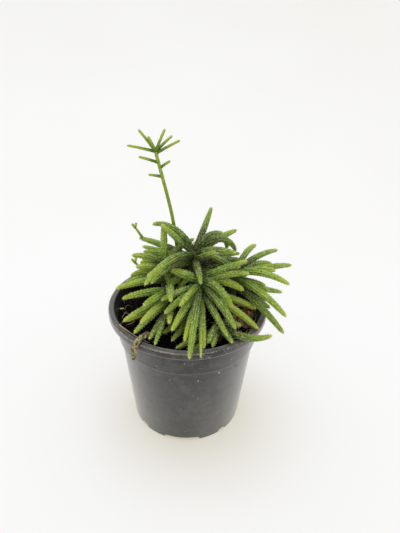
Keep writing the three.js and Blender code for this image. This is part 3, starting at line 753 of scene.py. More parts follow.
def smooth_point(points, share):
    """A point on the centripetal Catmull-Rom curve through the points, a share of the way along it."""
    points = np.asarray(points, float)
    last = len(points) - 1
    at = share * last
    k = min(int(at), last - 1)
    weight = at - k
    before = points[k - 1] if k > 0 else 2 * points[0] - points[1]
    after = points[k + 2] if k + 2 <= last else 2 * points[-1] - points[-2]
    p = [before, points[k], points[k + 1], after]
    d0, d1, d2 = (max(np.linalg.norm(b - a), 1e-6) ** 0.5 for a, b in zip(p, p[1:]))
    m1 = ((p[1] - p[0]) / d0 - (p[2] - p[0]) / (d0 + d1) + (p[2] - p[1]) / d1) * d1
    m2 = ((p[2] - p[1]) / d1 - (p[3] - p[1]) / (d1 + d2) + (p[3] - p[2]) / d2) * d1
    t2, t3 = weight**2, weight**3
    return (
        p[1] * (2 * t3 - 3 * t2 + 1) + m1 * (t3 - 2 * t2 + weight) + p[2] * (3 * t2 - 2 * t3) + m2 * (t3 - t2)
    )


def smooth_points(points, shares):
    """Points on the curve at several shares of the way."""
    return np.array([smooth_point(points, share) for share in shares])


def drooping_line(root, heading, rise, length, droop):
    """The line of a drooping stem in mm, as evenly spaced beads."""
    beads = [np.array(root, float)]
    step = length / (BEADS - 1)
    turn = math.radians(heading)
    for k in range(BEADS - 1):
        tilt = math.radians(rise - droop * (k + 0.5) / (BEADS - 1))
        flat = step * math.cos(tilt)
        beads.append(beads[-1] + (flat * math.cos(turn), flat * math.sin(turn), step * math.sin(tilt)))
    return np.array(beads)


def fullness(share):
    """A stem's radius as a share of its full radius: narrow root, full middle, taper and blunt tip."""
    share = np.asarray(share, float)
    root = ROOT_WIDTH + ROOT_WIDENING * np.minimum(1, share / FULL_FROM)
    taper = 1 - TAPER * (np.maximum(0, share - TAPER_FROM) / TAPER_REACH) ** TAPER_POWER
    tip = np.sqrt(np.maximum(0, 1 - (np.maximum(0, share - TIP_FROM) / TIP_REACH) ** 2))
    return root * taper * tip


def cane_point(cane, below):
    """The place on a cane's stalk that lies so many mm below its crown."""
    x, y, z = cane["crown"]
    share = min(1, below / (z - SOIL_LEVEL))
    return x + (cane["foot"][0] - x) * share, y + (cane["foot"][1] - y) * share, z - below


BEAD_FULLNESS = fullness(np.arange(BEADS) / (BEADS - 1))
print("fullness at the beads:", BEAD_FULLNESS.round(2))

# %% Stems that can swing
BEAD_NUMBERS = np.arange(1, BEADS)[:, None]
THINNEST, THICKNESS_SPREAD = 0.92, 0.2


class Stem:
    """One stem: its cane's number, its radius, its turn about itself, how far it yields, and its beads."""

    def __init__(self, cane, radius, spin, yielding, beads):
        self.cane, self.radius, self.spin, self.yielding, self.beads = cane, radius, spin, yielding, beads
        self.girths = radius * BEAD_FULLNESS

    def swing(self, bead, push):
        """Moves a bead by push and the others in proportion, with the root held still."""
        self.beads[1:] += BEAD_NUMBERS / bead * push


def grow_stems():
    """Every stem of every cane. Their beads share one array, so that their boxes are found in one step."""
    draw = drawer(STEM_SEED)
    rows = []
    for number, cane in enumerate(CANES):
        for row, (below, heading, rise, length, droop, *plumpness) in enumerate(cane["stems"]):
            thickness = THINNEST + THICKNESS_SPREAD * draw()
            radius = cane["girth"] / 2 * thickness * (plumpness[0] if plumpness else 1)
            spin = draw() * math.pi
            yielding = FIRM_YIELD if row < cane["firm"] else 1
            beads = drooping_line(cane_point(cane, below), heading, rise, length, droop)
            rows.append((number, radius, spin, yielding, beads))
    lines = np.array([row[-1] for row in rows])
    return [Stem(*row[:-1], lines[k]) for k, row in enumerate(rows)], lines


def part_pair(a, b):
    """Pushes two stems apart at the place where they are deepest in each other."""
    same = a.cane == b.cane
    gap = GAP_IN_ONE_CANE if same else GAP_BETWEEN_CANES
    first = FUSED_BEADS if same else 1
    apart = a.beads[first:, None] - b.beads[None, first:]
    distance = np.sqrt(np.einsum("klc,klc->kl", apart, apart))
    short = a.girths[first:, None] + b.girths[None, first:] + gap - distance
    k, m = divmod(int(short.argmax()), short.shape[1])
    worst = short[k, m]
    if worst <= 0:
        return
    push = apart[k, m] / distance[k, m] * worst * SETTLE_SHARE / (a.yielding + b.yielding)
    a.swing(k + first, push * a.yielding)
    b.swing(m + first, -push * b.yielding)


stems, stem_lines = grow_stems()
print("stems before they settle:", len(stems))


# %% What stems keep off
def obstacles(stem, z):
    """Middles and radii of what a stem goes round at a height: other canes' stalks and the long shoot."""
    others = [cane for number, cane in enumerate(CANES) if number != stem.cane]
    reached = [cane for cane in others if z <= cane["crown"][2] + CROWN_REACH]
    stalks = [(*cane_point(cane, max(0, cane["crown"][2] - z))[:2], z) for cane in reached]
    points = np.vstack([np.reshape(stalks, (-1, 3)), shoot_points])
    return points, np.array([STALK_RADIUS] * len(stalks) + [SHOOT_RADIUS + SHOOT_GAP] * len(shoot_points))


def keep_off(stem):
    """Holds a stem clear of the soil, the pot's lip, the other canes' stalks and the long shoot."""
    for k in range(2, BEADS):
        bead = stem.beads[k]
        r = stem.girths[k] + SOLID_GAP
        out = math.hypot(bead[0], bead[1])
        lowest = SOIL_LEVEL + CAD_SOIL_BUMP + r
        if out < LIP_RADIUS - LIP_ZONE and bead[2] < lowest:
            stem.swing(k, np.array([0, 0, (lowest - bead[2]) * SETTLE_SHARE]))
        from_lip = math.hypot(out - (LIP_RADIUS - LIP_MIDDLE), bead[2] - (POT_HEIGHT - LIP_MIDDLE))
        if from_lip < r + LIP_GUARD:
            stem.swing(k, np.array([0, 0, (r + LIP_GUARD - from_lip) * SETTLE_SHARE]))
        points, radii = obstacles(stem, bead[2])
        away = bead - points
        distance = np.sqrt(np.einsum("pc,pc->p", away, away))
        short = radii + r - distance
        nearest = short.argmax()
        if short[nearest] > 0:
            stem.swing(k, away[nearest] / distance[nearest] * short[nearest] * SETTLE_SHARE)


def settle(stems, lines):
    """Lets every stem give way to its neighbours and to the solids, round after round."""
    margins = np.array([stem.radius + GAP_BETWEEN_CANES / 2 for stem in stems])[:, None]
    for _ in range(SETTLE_ROUNDS):
        for i, a in enumerate(stems):
            low = lines[i:].min(axis=1) - margins[i:]
            high = lines[i:].max(axis=1) + margins[i:]
            near = ((low <= high[0]) & (high >= low[0])).all(axis=1)
            for j in np.flatnonzero(near)[1:]:
                part_pair(a, stems[i + j])
        for stem in stems:
            keep_off(stem)


print("a stem keeps off a stalk by mm:", STALK_RADIUS + SOLID_GAP)

# %% The settled stems and the fillers
SHOOT_STEPS = 40
shoot_controls = [*((*SHOOT_FOOT, SOIL_LEVEL + z) for z in (-STALK_DEPTH, 4)), SHOOT_BEND, SHOOT_TOP]
shoot_points = smooth_points(shoot_controls, [k / SHOOT_STEPS for k in range(SHOOT_STEPS + 1)])
settle(stems, stem_lines)
for name, below, *lie in FILLERS:
    number = next(k for k, cane in enumerate(CANES) if cane["name"] == name)
    beads = drooping_line(cane_point(CANES[number], below), *lie)
    stems.append(Stem(number, CANES[number]["girth"] / 2, 0.0, 1, beads))
print("stems:", len(stems), "highest bead in mm:", round(max(s.beads[:, 2].max() for s in stems), 1))

# %% [markdown]
# ## The skin of a stem
# A stem could be a curve with a bevel, but its ribs, the small pads that carry its bristles and its blunt
# tip need a mesh. A straight tube is made once by subdividing a cone along its length and closing its ends.
# Every stem is a copy of it whose points are moved on to that stem's line by a formula. The pads sit in
# rows on the ribs and lean towards the tip, so that a stem's edge looks like a fine saw. Colour follows the
# surface through four attributes: `along` runs from root to tip, `rib` is high on the crests, `dot` is high
# on the pads and `tint` is one number for each stem.

# %% Tube template and the way it bends
STEM_SIDES = 40
STEM_RINGS = 72
TIP_END = 1.0045
TIP_CROWDING = 1.15


def tube_mesh(name, sides, rings):
    """A straight tube of unit radius from z 0 to z 1 with even rings and a pole at each end."""
    bm = bmesh.new()
    bmesh.ops.create_cone(bm, cap_ends=True, segments=sides, radius1=1, radius2=1, depth=1)
    bmesh.ops.translate(bm, verts=bm.verts, vec=(0, 0, 0.5))
    long_edges = [e for e in bm.edges if abs(e.verts[0].co.z - e.verts[1].co.z) > 0.5]
    bmesh.ops.subdivide_edges(bm, edges=long_edges, cuts=rings - 1, use_grid_fill=True)
    bmesh.ops.poke(bm, faces=[f for f in bm.faces if len(f.verts) == sides])
    return mesh_from(bm, name)


class Tube:
    """A template tube read once: each point's ring and turn, and how far along the line each ring lies."""

    def __init__(self, name, sides, rings, stations=None):
        self.mesh = tube_mesh(name, sides, rings)
        co = np.array([v.co[:] for v in self.mesh.vertices])
        self.stations = np.linspace(0, 1, rings + 1) if stations is None else stations
        self.ring = np.round(co[:, 2] * rings).astype(int)
        self.pole = np.hypot(co[:, 0], co[:, 1]) < 0.5
        self.turn = np.arctan2(co[:, 1], co[:, 0])


def frames_along(points):
    """The direction, and two directions across it that don't twist, at each of a row of points."""
    along = np.gradient(points, axis=0)
    along /= np.linalg.norm(along, axis=1)[:, None]
    aside = np.array([0, 1.0, 0]) if abs(along[0, 2]) > 0.95 else np.array([0, 0, 1.0])
    across = np.cross(aside, along[0])
    rows = []
    for direction in along:
        across = across - direction * (across @ direction)
        across /= np.linalg.norm(across)
        rows.append((across, np.cross(direction, across)))
    return along, np.array([r[0] for r in rows]), np.array([r[1] for r in rows])


def bend_tube(tube, points, radius_of):
    """The tube's points on a line. radius_of(shares, turns) gives mm. Gives places in mm and shares."""
    _, across, up = frames_along(points)
    shares = tube.stations[tube.ring]
    r = np.where(tube.pole, 0.0, radius_of(shares, tube.turn))
    places = points[tube.ring] + across[tube.ring] * (r * np.cos(tube.turn))[:, None]
    places = places + up[tube.ring] * (r * np.sin(tube.turn))[:, None]
    return places, shares


crowded = TIP_END * (1 - (1 - np.arange(STEM_RINGS + 1) / STEM_RINGS) ** TIP_CROWDING)
stem_tube = Tube("stem_tube", STEM_SIDES, STEM_RINGS, crowded)
print("stem template faces:", len(stem_tube.mesh.polygons))

# %% The ribs and the pads on them
RIBS = 8
CREST = 0.95
VALLEY = 0.80
CREST_ROUND = 0.8
MOST_TWIST = 0.8
PAD_STEP = 2.1
PAD_PEAK = 0.70
PAD_RISE = 0.21
PAD_LEAN = 1.6
PAD_WIDTH = 2.5
PAD_SIZES = (0.55, 1.25)
TIP_NARROWING = 0.16
NARROWS_FROM = 0.8


def line_points(beads, stations):
    """Points of a stem's line at the stations, and straight on past its last bead."""
    over = np.maximum(0, stations - 1) * (BEADS - 1)
    return smooth_points(beads, np.minimum(stations, 1.0)) + over[:, None] * (beads[-1] - beads[-2])


class Ribbing:
    """Where one stem's ribs and pads are. Every pad has its own size, and every rib its own start."""

    def __init__(self, stem):
        self.spin = stem.spin
        self.twist = random.uniform(-MOST_TWIST, MOST_TWIST)
        self.length = np.linalg.norm(np.diff(stem.beads, axis=0), axis=1).sum()
        self.pads = int(self.length / PAD_STEP) + 3
        self.start = 0.5 * (np.arange(RIBS) % 2) + random.uniform(-0.12, 0.12, RIBS)
        self.size = random.uniform(*PAD_SIZES, (RIBS, self.pads))

    def phase(self, shares, turns):
        """Grows by pi from one rib to the next."""
        return (turns - self.spin) * RIBS / 2 + self.twist * shares

    def rib(self, shares, turns):
        """1 on the crest of each rib and 0 in the valley, with rounded crests and sharper valleys."""
        return np.abs(np.cos(self.phase(shares, turns))) ** CREST_ROUND

    def pad(self, shares, turns):
        """High on each pad: it rises slowly from the root's side and falls quickly on the tip's side."""
        number = np.round(self.phase(shares, turns) / math.pi).astype(int) % RIBS
        steps = shares * self.length / PAD_STEP + self.start[number]
        which = np.clip(np.floor(steps).astype(int), 0, self.pads - 1)
        at = steps - np.floor(steps)
        ramp = np.where(at < PAD_PEAK, at / PAD_PEAK, (1 - at) / (1 - PAD_PEAK))
        return ramp**PAD_LEAN * self.rib(shares, turns) ** PAD_WIDTH * self.size[number, which]


def build_skin(stem, ribbing):
    """The places of one stem's points in mm and its attributes but for its tint."""

    def radius_of(shares, turns):
        ribs = VALLEY + (CREST - VALLEY) * ribbing.rib(shares, turns)
        narrowing = 1 - TIP_NARROWING * np.maximum(0, shares - NARROWS_FROM) / (1 - NARROWS_FROM)
        return stem.radius * fullness(shares) * narrowing * (ribs + PAD_RISE * ribbing.pad(shares, turns))

    places, shares = bend_tube(stem_tube, line_points(stem.beads, stem_tube.stations), radius_of)
    return places, shares, ribbing.rib(shares, stem_tube.turn), ribbing.pad(shares, stem_tube.turn)


print("pads on a stem of 40 mm:", RIBS * int(40 / PAD_STEP))

# %% [markdown]
# ## Stem skin and bristles
# The skin is waxy, finely pitted and dusted with short hairs, so every crest carries a pale frost that is
# partly a painted highlight, and it is painted fainter towards the root as painted shade.
# Roots are a deep green, the middle is fresh green and the outer end turns yellow-green; the near-black
# green at the roots is partly painted shade deep in the mop. Stems in the shade inside the mop are painted
# darker than those at the front, as painted shade, so each cane has its own tint. Light passes a little way
# into the flesh, so it has a small, constant subsurface weight. The bristles are short, stiff and whitish,
# and from a step away they read as rows of pale dots. Each is a needle with three sides, because there are
# thousands of them.

# %% Stem material
# Near-black green of the roots, also used as painted shade deep in the mop and in the rib valleys.
ROOT_AND_SHADE_GREEN = (0.002, 0.007, 0.001, 1)
DEEP_GREEN = (0.018, 0.050, 0.002, 1)
LEAF_GREEN = (0.115, 0.220, 0.004, 1)
LIGHT_GREEN = (0.335, 0.440, 0.010, 1)
DEEP_AGE, LEAF_AGE = 0.26, 0.58
FROST_AND_HIGHLIGHT_COLOUR = (0.560, 0.610, 0.260, 1)
TIP_COLOUR = (0.60, 0.60, 0.24, 1)
YOUNG_TIP_COLOUR = (0.34, 0.29, 0.11, 1)
PAD_COLOUR = (0.66, 0.70, 0.42, 1)
GROWTH_POWER, GROWTH_REACH = 1.25, 0.68
PATCH_SPREAD = 0.14


def make_stem_material(name, older, tip_colour):
    """Waxy ribbed skin. older moves the whole stem along the row of greens, and the tip has its own."""
    material, tree, shader = new_material(name)
    along, rib, dot, tint = (attribute(tree, n) for n in ("along", "rib", "dot", "tint"))
    patch = mottled(tree, 80.0, 600.0)
    growth = times(tree, calculate(tree, "POWER", along, GROWTH_POWER), GROWTH_REACH)
    spots = remap(tree, patch, 0, 1, older - PATCH_SPREAD, older + PATCH_SPREAD)
    age = calculate(tree, "ADD", calculate(tree, "ADD", tint, growth), spots)
    # Pale frost on the crests, partly real hairs and partly a painted highlight; fainter towards the root as
    # painted shade.
    frost_and_highlight_noise = remap(tree, mottled(tree, 800.0, 1700.0), 0.34, 0.95, 0.04, 0.74)
    frost_and_highlight_zone = remap(tree, rib, 0.2, 1.0, 0.35, 1.0)
    frost_and_highlight = times(tree, frost_and_highlight_zone, frost_and_highlight_noise, remap(tree, along, 0.1, 0.55, 0.25, 1.0))
    green = lay_over(
        tree, ROOT_AND_SHADE_GREEN,
        (remap(tree, age, 0.0, DEEP_AGE), DEEP_GREEN),
        (remap(tree, age, DEEP_AGE, LEAF_AGE), LEAF_GREEN),
        (remap(tree, age, LEAF_AGE, 1.0), LIGHT_GREEN),
        # Painted shade: the valleys between the ribs are darkened towards the root green.
        (times(tree, remap(tree, rib, 0.0, 0.6, 1.0, 0.0), 0.65), ROOT_AND_SHADE_GREEN),
        # Frost and painted highlight on the crests.
        (frost_and_highlight, FROST_AND_HIGHLIGHT_COLOUR),
        (times(tree, remap(tree, dot, 0.65, 1.05), 0.80), PAD_COLOUR),
        (times(tree, remap(tree, along, 0.95, 1.0), 0.60), tip_colour),
    )
    fill(tree, shader, {
        "Base Color": green,
        "Roughness": remap(tree, patch, 0, 1, 0.38, 0.58),
        "Specular IOR Level": 0.16,
        "Subsurface Weight": 0.08,
        "Subsurface Radius": (0.6, 1.0, 0.2),
        "Subsurface Scale": 0.001,
    })
    add_bump(tree, shader, 2600.0, 0.45, 0.00025)
    return material


stem_material = make_stem_material("stem_skin", 0.0, TIP_COLOUR)
young_material = make_stem_material("young_skin", 0.22, YOUNG_TIP_COLOUR)
print("stem material nodes:", len(stem_material.node_tree.nodes))

# %% Bark and bristle materials
BARK_COLOURS = (0.035, 0.032, 0.014, 1), (0.10, 0.085, 0.042, 1)
BRISTLE_COLOURS = (0.30, 0.34, 0.13, 1), (0.68, 0.70, 0.46, 1)
bark_material = mottled_material("cane_bark", *BARK_COLOURS, (120.0, 900.0), 0.85, (900.0, 0.7, 0.0005))
bristle_material = mottled_material("bristles", *BRISTLE_COLOURS, (90.0, 600.0), 0.6)
print("materials so far:", len(bpy.data.materials))

# %% Plant pieces from many tubes
ATTRIBUTES = ("along", "rib", "dot", "tint")


def tubes_piece(name, template, skins, material, nodes):
    """One piece from many bent copies of a template. Each skin is (places in mm, along, rib, dot, tint)."""
    bm = bmesh.new()
    for _ in skins:
        bm.from_mesh(template)
    mesh = mesh_from(bm, name)
    mesh.vertices.foreach_set("co", np.concatenate([skin[0] for skin in skins]).ravel() * MM)
    for k, attribute_name in enumerate(ATTRIBUTES):
        layer = mesh.attributes.new(attribute_name, "FLOAT", "POINT")
        values = [np.broadcast_to(skin[k + 1], len(skin[0])) for skin in skins]
        layer.data.foreach_set("value", np.concatenate(values).astype(np.float32))
    mesh.update()
    piece = add_object(name, mesh, material)
    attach(piece, "root")
    if nodes:
        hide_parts(*nodes)
    print(name, "tubes:", len(skins), "faces:", len(mesh.polygons))
    return piece


print("attributes on every tube:", ATTRIBUTES)

# %% Bristles, in mm
BRISTLE_LENGTH = (0.45, 1.0)
BRISTLE_RADIUS = 0.06
BRISTLES_ON_PAD = 3
BRISTLES_ON_TIP = 10
BRISTLE_STRAY = 0.10
BRISTLE_LEAN = (0.3, 1.1)
BRISTLE_FOOT = 1.02
BRISTLE_FAN = 0.3
TUFT_SIZE = 0.3
TUFT_FAN = 0.4
BRISTLE_STEPS = 60
FIRST_BRISTLE, LAST_BRISTLE = 0.2, 0.99


def needle_mesh():
    """A three-sided needle of unit length and unit base radius that points along +Z."""
    bm = bmesh.new()
    bmesh.ops.create_cone(bm, cap_ends=True, segments=3, radius1=1, radius2=0, depth=1)
    bmesh.ops.translate(bm, verts=bm.verts, vec=(0, 0, 0.5))
    return mesh_from(bm, "needle")


def aimed(direction, sizes, place):
    """A placement whose Z points along a direction."""
    direction = direction / np.linalg.norm(direction)
    helper = np.array([1.0, 0, 0]) if abs(direction[0]) < 0.8 else np.array([0, 1.0, 0])
    x = np.cross(helper, direction)
    x /= np.linalg.norm(x)
    return placed(np.column_stack([x, np.cross(direction, x), direction]), sizes, place)


def bristle(foot, aim):
    """A bristle of a random length."""
    return aimed(aim, (BRISTLE_RADIUS, BRISTLE_RADIUS, random.uniform(*BRISTLE_LENGTH)), foot)


def bristles_of(stem, ribbing):
    """Placements of the bristles on one stem: a few on each pad, and a tuft on the tip."""
    rows = []
    points = line_points(stem.beads, np.linspace(0, 1, BRISTLE_STEPS))
    along, across, up = frames_along(points)
    for rib in range(RIBS):
        for pad in range(ribbing.pads):
            share = (pad + PAD_PEAK - ribbing.start[rib]) * PAD_STEP / ribbing.length
            if not FIRST_BRISTLE < share < LAST_BRISTLE:
                continue
            at = share * (BRISTLE_STEPS - 1)
            k = int(at)
            turn = stem.spin + (rib * math.pi - ribbing.twist * share) * 2 / RIBS
            turn += random.normal() * BRISTLE_STRAY
            outward = across[k] * math.cos(turn) + up[k] * math.sin(turn)
            foot = points[k] + (at - k) * (points[min(k + 1, BRISTLE_STEPS - 1)] - points[k])
            foot = foot + outward * stem.radius * float(fullness(share)) * BRISTLE_FOOT
            for _ in range(BRISTLES_ON_PAD):
                lean = along[k] * random.uniform(*BRISTLE_LEAN)
                rows.append(bristle(foot, outward + lean + random.normal(size=3) * BRISTLE_FAN))
    for _ in range(BRISTLES_ON_TIP):
        foot = points[-1] + random.normal(size=3) * TUFT_SIZE
        rows.append(bristle(foot, along[-1] + random.normal(size=3) * TUFT_FAN))
    return rows


needle = needle_mesh()
print("needle faces:", len(needle.polygons))

# %% Thin young stems, in mm
YOUNG_RADIUS = 0.95
YOUNG_RIBS = 5
YOUNG_PADS = 26
YOUNG_BUMP = 0.06
YOUNG_DROOP = 6
TWIG_HEADINGS = (60, 180, 300)
TWIG_RISE = 55
TWIG_LENGTH = 3.5
TWIG_TINT = 0.35
YOUNG_TINT = 0.25
thin_tube = Tube("thin_tube", 14, 26)


def young_skin(root, heading, rise, length, tint):
    """A thin young stem with faint ribs, small pads and a round tip, and its line."""
    beads = drooping_line(root, heading, rise, length, YOUNG_DROOP)
    start = random.random() * 6

    def bumps(shares, turns):
        return np.cos(YOUNG_RIBS * turns) * np.cos(shares * YOUNG_PADS + start)

    def radius_of(shares, turns):
        tip = np.sqrt(np.maximum(0, 1 - (np.maximum(0, shares - 0.9) / 0.102) ** 2))
        return YOUNG_RADIUS * (1.1 - 0.25 * shares) * tip * (0.97 + YOUNG_BUMP * bumps(shares, turns))

    places, shares = bend_tube(thin_tube, line_points(beads, thin_tube.stations), radius_of)
    rib = 0.6 + 0.4 * np.cos(YOUNG_RIBS * thin_tube.turn)
    return (places, shares, rib, 0.8 * np.maximum(0, bumps(shares, thin_tube.turn)), tint), beads


def twiggy_skins(own, young):
    """A young stem with three twigs on each of a cane's stems that the table names."""
    skins = []
    for row, *lie in young:
        skin, beads = young_skin(own[row].beads[-2], *lie, YOUNG_TINT)
        skins.append(skin)
        skins += [young_skin(beads[-2], turn, TWIG_RISE, TWIG_LENGTH, TWIG_TINT)[0] for turn in TWIG_HEADINGS]
    return skins


print("thin stem faces:", len(thin_tube.mesh.polygons))

# %% The canes
TINT_SPREAD = 0.14
STALK_TOP_RADIUS = 2.7
STALK_TINT = 0.3
stalk_tube = Tube("stalk_tube", 20, 24)


def stalk_skin(cane):
    """The woody lower part of a cane, from under the soil to its crown."""
    foot = cane["foot"]
    controls = [*((*foot, SOIL_LEVEL + z) for z in (-STALK_DEPTH, -4, 2)), cane["crown"]]

    def radius_of(shares, turns):
        knots = 1 + 0.05 * np.sin(shares * 40 + turns * 2) + 0.04 * np.cos(turns * 3 - shares * 17)
        return (STALK_RADIUS + (STALK_TOP_RADIUS - STALK_RADIUS) * shares) * knots

    places, shares = bend_tube(stalk_tube, smooth_points(controls, stalk_tube.stations), radius_of)
    return places, shares, 0.5, 0.0, STALK_TINT


for number, cane in enumerate(CANES):
    name = cane["name"]
    own = [stem for stem in stems if stem.cane == number]
    skins, bristles = [], []
    for row, stem in enumerate(own):
        ribbing = Ribbing(stem)
        # Painted shade: the rows named in shade and the fillers are painted darker.
        shade = cane.get("shade", {}).get(row, 0) if row < len(cane["stems"]) else FILLER_PAINTED_SHADE
        tint = cane["tint"] - shade + random.uniform(-TINT_SPREAD, TINT_SPREAD)
        skins.append((*build_skin(stem, ribbing), tint))
        bristles += bristles_of(stem, ribbing)
    tubes_piece(name + "_stems", stem_tube.mesh, skins, stem_material, [name])
    tubes_piece(name + "_stalk", stalk_tube.mesh, [stalk_skin(cane)], bark_material, [])
    scatter(name + "_bristles", needle, bristles, bristle_material, smooth=False)
    if "young" in cane:
        young = twiggy_skins(own, cane["young"])
        tubes_piece(name + "_young", thin_tube.mesh, young, young_material, [])

# %% [markdown]
# ## The long shoot
# One thin shoot has outgrown the mop and made a whorl of young stems at its end. It could be a stem like
# the others, but it is almost smooth, so it is a plainer tube of the same kind. Its whorl starts from one
# point like the ribs of an umbrella.

# %% Long shoot
# A young stem is how far along the shoot it starts, its heading, its rise and its length in mm.
YOUNG_STEMS = [
    (1, 180, 56, 17), (1, 200, 68, 11), (1, 20, 68, 15), (1, 45, 30, 16), (0.99, 10, 30, 17),
    (1, 178, 14, 18), (0.94, 190, 22, 13), (0.91, 10, 36, 8), (0.86, 172, 8, 9),
]
WHORL_TINT = 0.18
SHOOT_TINT = 0.36
SHOOT_AGE = 0.6
shoot_tube = Tube("shoot_tube", 16, 90)
shoot_line = smooth_points(shoot_controls, np.linspace(0, 1, 401))
run = np.concatenate([[0], np.cumsum(np.linalg.norm(np.diff(shoot_line, axis=0), axis=1))])


def shoot_point(share):
    """The place so far along the shoot's real length."""
    return np.array([np.interp(share * run[-1], run, shoot_line[:, k]) for k in range(3)])


def shoot_radius(shares, turns):
    """Faint ribs, and a slightly thicker foot."""
    return SHOOT_RADIUS * (1.02 - 0.08 * shares) * (0.95 + 0.05 * np.cos(6 * turns + 2 * shares))


points = np.array([shoot_point(s) for s in shoot_tube.stations])
places, shares = bend_tube(shoot_tube, points, shoot_radius)
shoot_skin = places, shares * SHOOT_AGE, 0.5, 0.0, SHOOT_TINT
tubes_piece("long_shoot_stem", shoot_tube.mesh, [shoot_skin], young_material, ["long_shoot"])
whorl = [young_skin(shoot_point(share), *lie, WHORL_TINT)[0] for share, *lie in YOUNG_STEMS]
tubes_piece("long_shoot_whorl", thin_tube.mesh, whorl, young_material, [])

# %% [markdown]
# ## The dried root
# A withered piece of root hooks over the lip. It is knobbly and full of small hollows. A carved lump could
# give them, but its line over the lip matters more, so it is a tube that is pushed in and out by noise,
# with dark specks of painted shade for its deepest holes.

# %% Dried root, in mm
ROOT_PATH = [
    (43, 92.2), (45.5, 93.8), (48.5, 94.5), (52, 94.6), (55.2, 94), (57.4, 90.8), (58.2, 87), (58, 83),
]
ROOT_HEADING = 236
ROOT_RADIUS = 1.45
ROOT_KNOBS = 0.70
ROOT_END = 0.08
HUSK_DARK, HUSK_LIGHT = (0.040, 0.030, 0.012, 1), (0.52, 0.44, 0.22, 1)
HOLE_PAINTED_SHADE = (0.012, 0.009, 0.006, 1)
root_tube = Tube("root_tube", 24, 110)


def on_heading(out, heading, z):
    """A place from its distance from the axis, its heading in degrees and its height."""
    turn = math.radians(heading)
    return np.array([out * math.cos(turn), out * math.sin(turn), z])


def root_radius(shares, turns):
    """Knobs and hollows from noise, and drawn-in ends."""
    lumps = [
        noise.fractal(Vector((math.cos(t) * 1.3, math.sin(t) * 1.3, s * 15)), 0.8, 2.0, 4)
        for s, t in zip(shares, turns)
    ]
    ends = 0.55 + 0.45 * np.sqrt(np.clip(np.minimum(shares, 1 - shares) / ROOT_END, 0, 1))
    return ROOT_RADIUS * (1 + ROOT_KNOBS * np.clip(lumps, -1, 1)) * ends


root_material, tree, shader = new_material("dry_root")
husk = mix_colour(tree, mottled(tree, 330.0, 1100.0), HUSK_DARK, HUSK_LIGHT)
# Dark specks of painted shade stand for the deepest holes.
husk = lay_over(tree, husk, (times(tree, specked(tree, 420.0, 0.55, 0.62), 0.9), HOLE_PAINTED_SHADE))
fill(tree, shader, {"Base Color": husk, "Roughness": 0.9})
add_bump(tree, shader, 900.0, 0.9, 0.0006)
controls = [on_heading(out, ROOT_HEADING, z) for out, z in ROOT_PATH]
places, shares = bend_tube(root_tube, smooth_points(controls, root_tube.stations), root_radius)
root_skin = places, shares, 0.5, 0.0, 0.0
tubes_piece("dried_root_piece", root_tube.mesh, [root_skin], root_material, ["dried_root"])

# %% [markdown]
# ## Fibres
# Coir fibres lie in brown tangles on the right of the soil, and a straw lies inside the left of the lip
# with a few thin ones behind it. Curves with a bevel would do for a handful. Here each fibre is a
# four-sided tube on a random walk, so that a whole tangle is one piece and each fibre has its own shade.

# %% Fibres
FIBRE_STEPS = 10
FIBRE_BEND = 0.25
FIBRE_LIFT = 0.35
fibre_tube = Tube("fibre_tube", 4, FIBRE_STEPS)


def fibre_walk(x, y, length, lift):
    """A wandering line that starts on the soil, stays just above it and bows up by lift in its middle."""
    heading = random.uniform(0, 2 * math.pi)
    bend = random.normal() * FIBRE_BEND
    spots = [(x, y)]
    for _ in range(FIBRE_STEPS):
        heading += bend + random.normal() * FIBRE_BEND
        step = length / FIBRE_STEPS
        spots.append((spots[-1][0] + step * math.cos(heading), spots[-1][1] + step * math.sin(heading)))
    rows = []
    for k, (a, b) in enumerate(spots):
        out = math.hypot(a, b)
        if out > SOIL_REACH:
            a, b = a * SOIL_REACH / out, b * SOIL_REACH / out
        bow = lift * math.sin(math.pi * k / FIBRE_STEPS)
        rows.append((a, b, soil_height(a, b) + FIBRE_LIFT + bow))
    return np.array(rows)


def fibre_skin(points, radius):
    """A thin tapered fibre on a row of points."""
    places, shares = bend_tube(fibre_tube, points, lambda shares, turns: radius * (1 - 0.5 * shares))
    return places, shares, 0.5, 0.0, random.random()


def fibre_material(name, dark, light):
    """Dry fibre whose shade varies from one to the next."""
    material, tree, shader = new_material(name)
    shade = times(tree, calculate(tree, "ADD", attribute(tree, "tint"), mottled(tree, 200.0, 1500.0)), 0.5)
    fill(tree, shader, {"Base Color": mix_colour(tree, shade, dark, light), "Roughness": 0.8})
    return material


print("fibre faces:", len(fibre_tube.mesh.polygons))

# %% Coir and straw, in mm
# A tangle is its middle, its spread and its number of fibres. The last one is spread over all the soil.
COIR_TANGLES = [(33, 8, 4, 18), (40, -2, 4, 40), (41, -15, 4, 34), (33, -9, 5, 18), (0, 0, 26, 26)]
COIR_LENGTH = (5, 13)
COIR_BOW = 4.0
COIR_RADIUS = (0.14, 0.34)
COIR_COLOURS = (0.110, 0.060, 0.020, 1), (0.85, 0.57, 0.25, 1)
STRAW_ENDS = (51.0, 211, 92.3), (46.5, 224, 88.5), (43, 237, 85.5)
STRAW_RADIUS = 0.42
THIN_STRAWS = ((44, 178), (45, 190), (42, 200), (46, 168), (40, 186))
THIN_STRAW_LENGTH = (5, 9)
THIN_STRAW_BOW = 2.0
THIN_STRAW_RADIUS = 0.16
STRAW_COLOURS = (0.22, 0.18, 0.10, 1), (0.55, 0.48, 0.33, 1)

coir = []
for x, y, spread, count in COIR_TANGLES:
    for _ in range(count):
        spot = x + random.normal() * spread, y + random.normal() * spread
        walk = fibre_walk(*spot, random.uniform(*COIR_LENGTH), random.random() * COIR_BOW)
        coir.append(fibre_skin(walk, random.uniform(*COIR_RADIUS)))
coir_material = fibre_material("coir", *COIR_COLOURS)
tubes_piece("coir_fibres", fibre_tube.mesh, coir, coir_material, [])

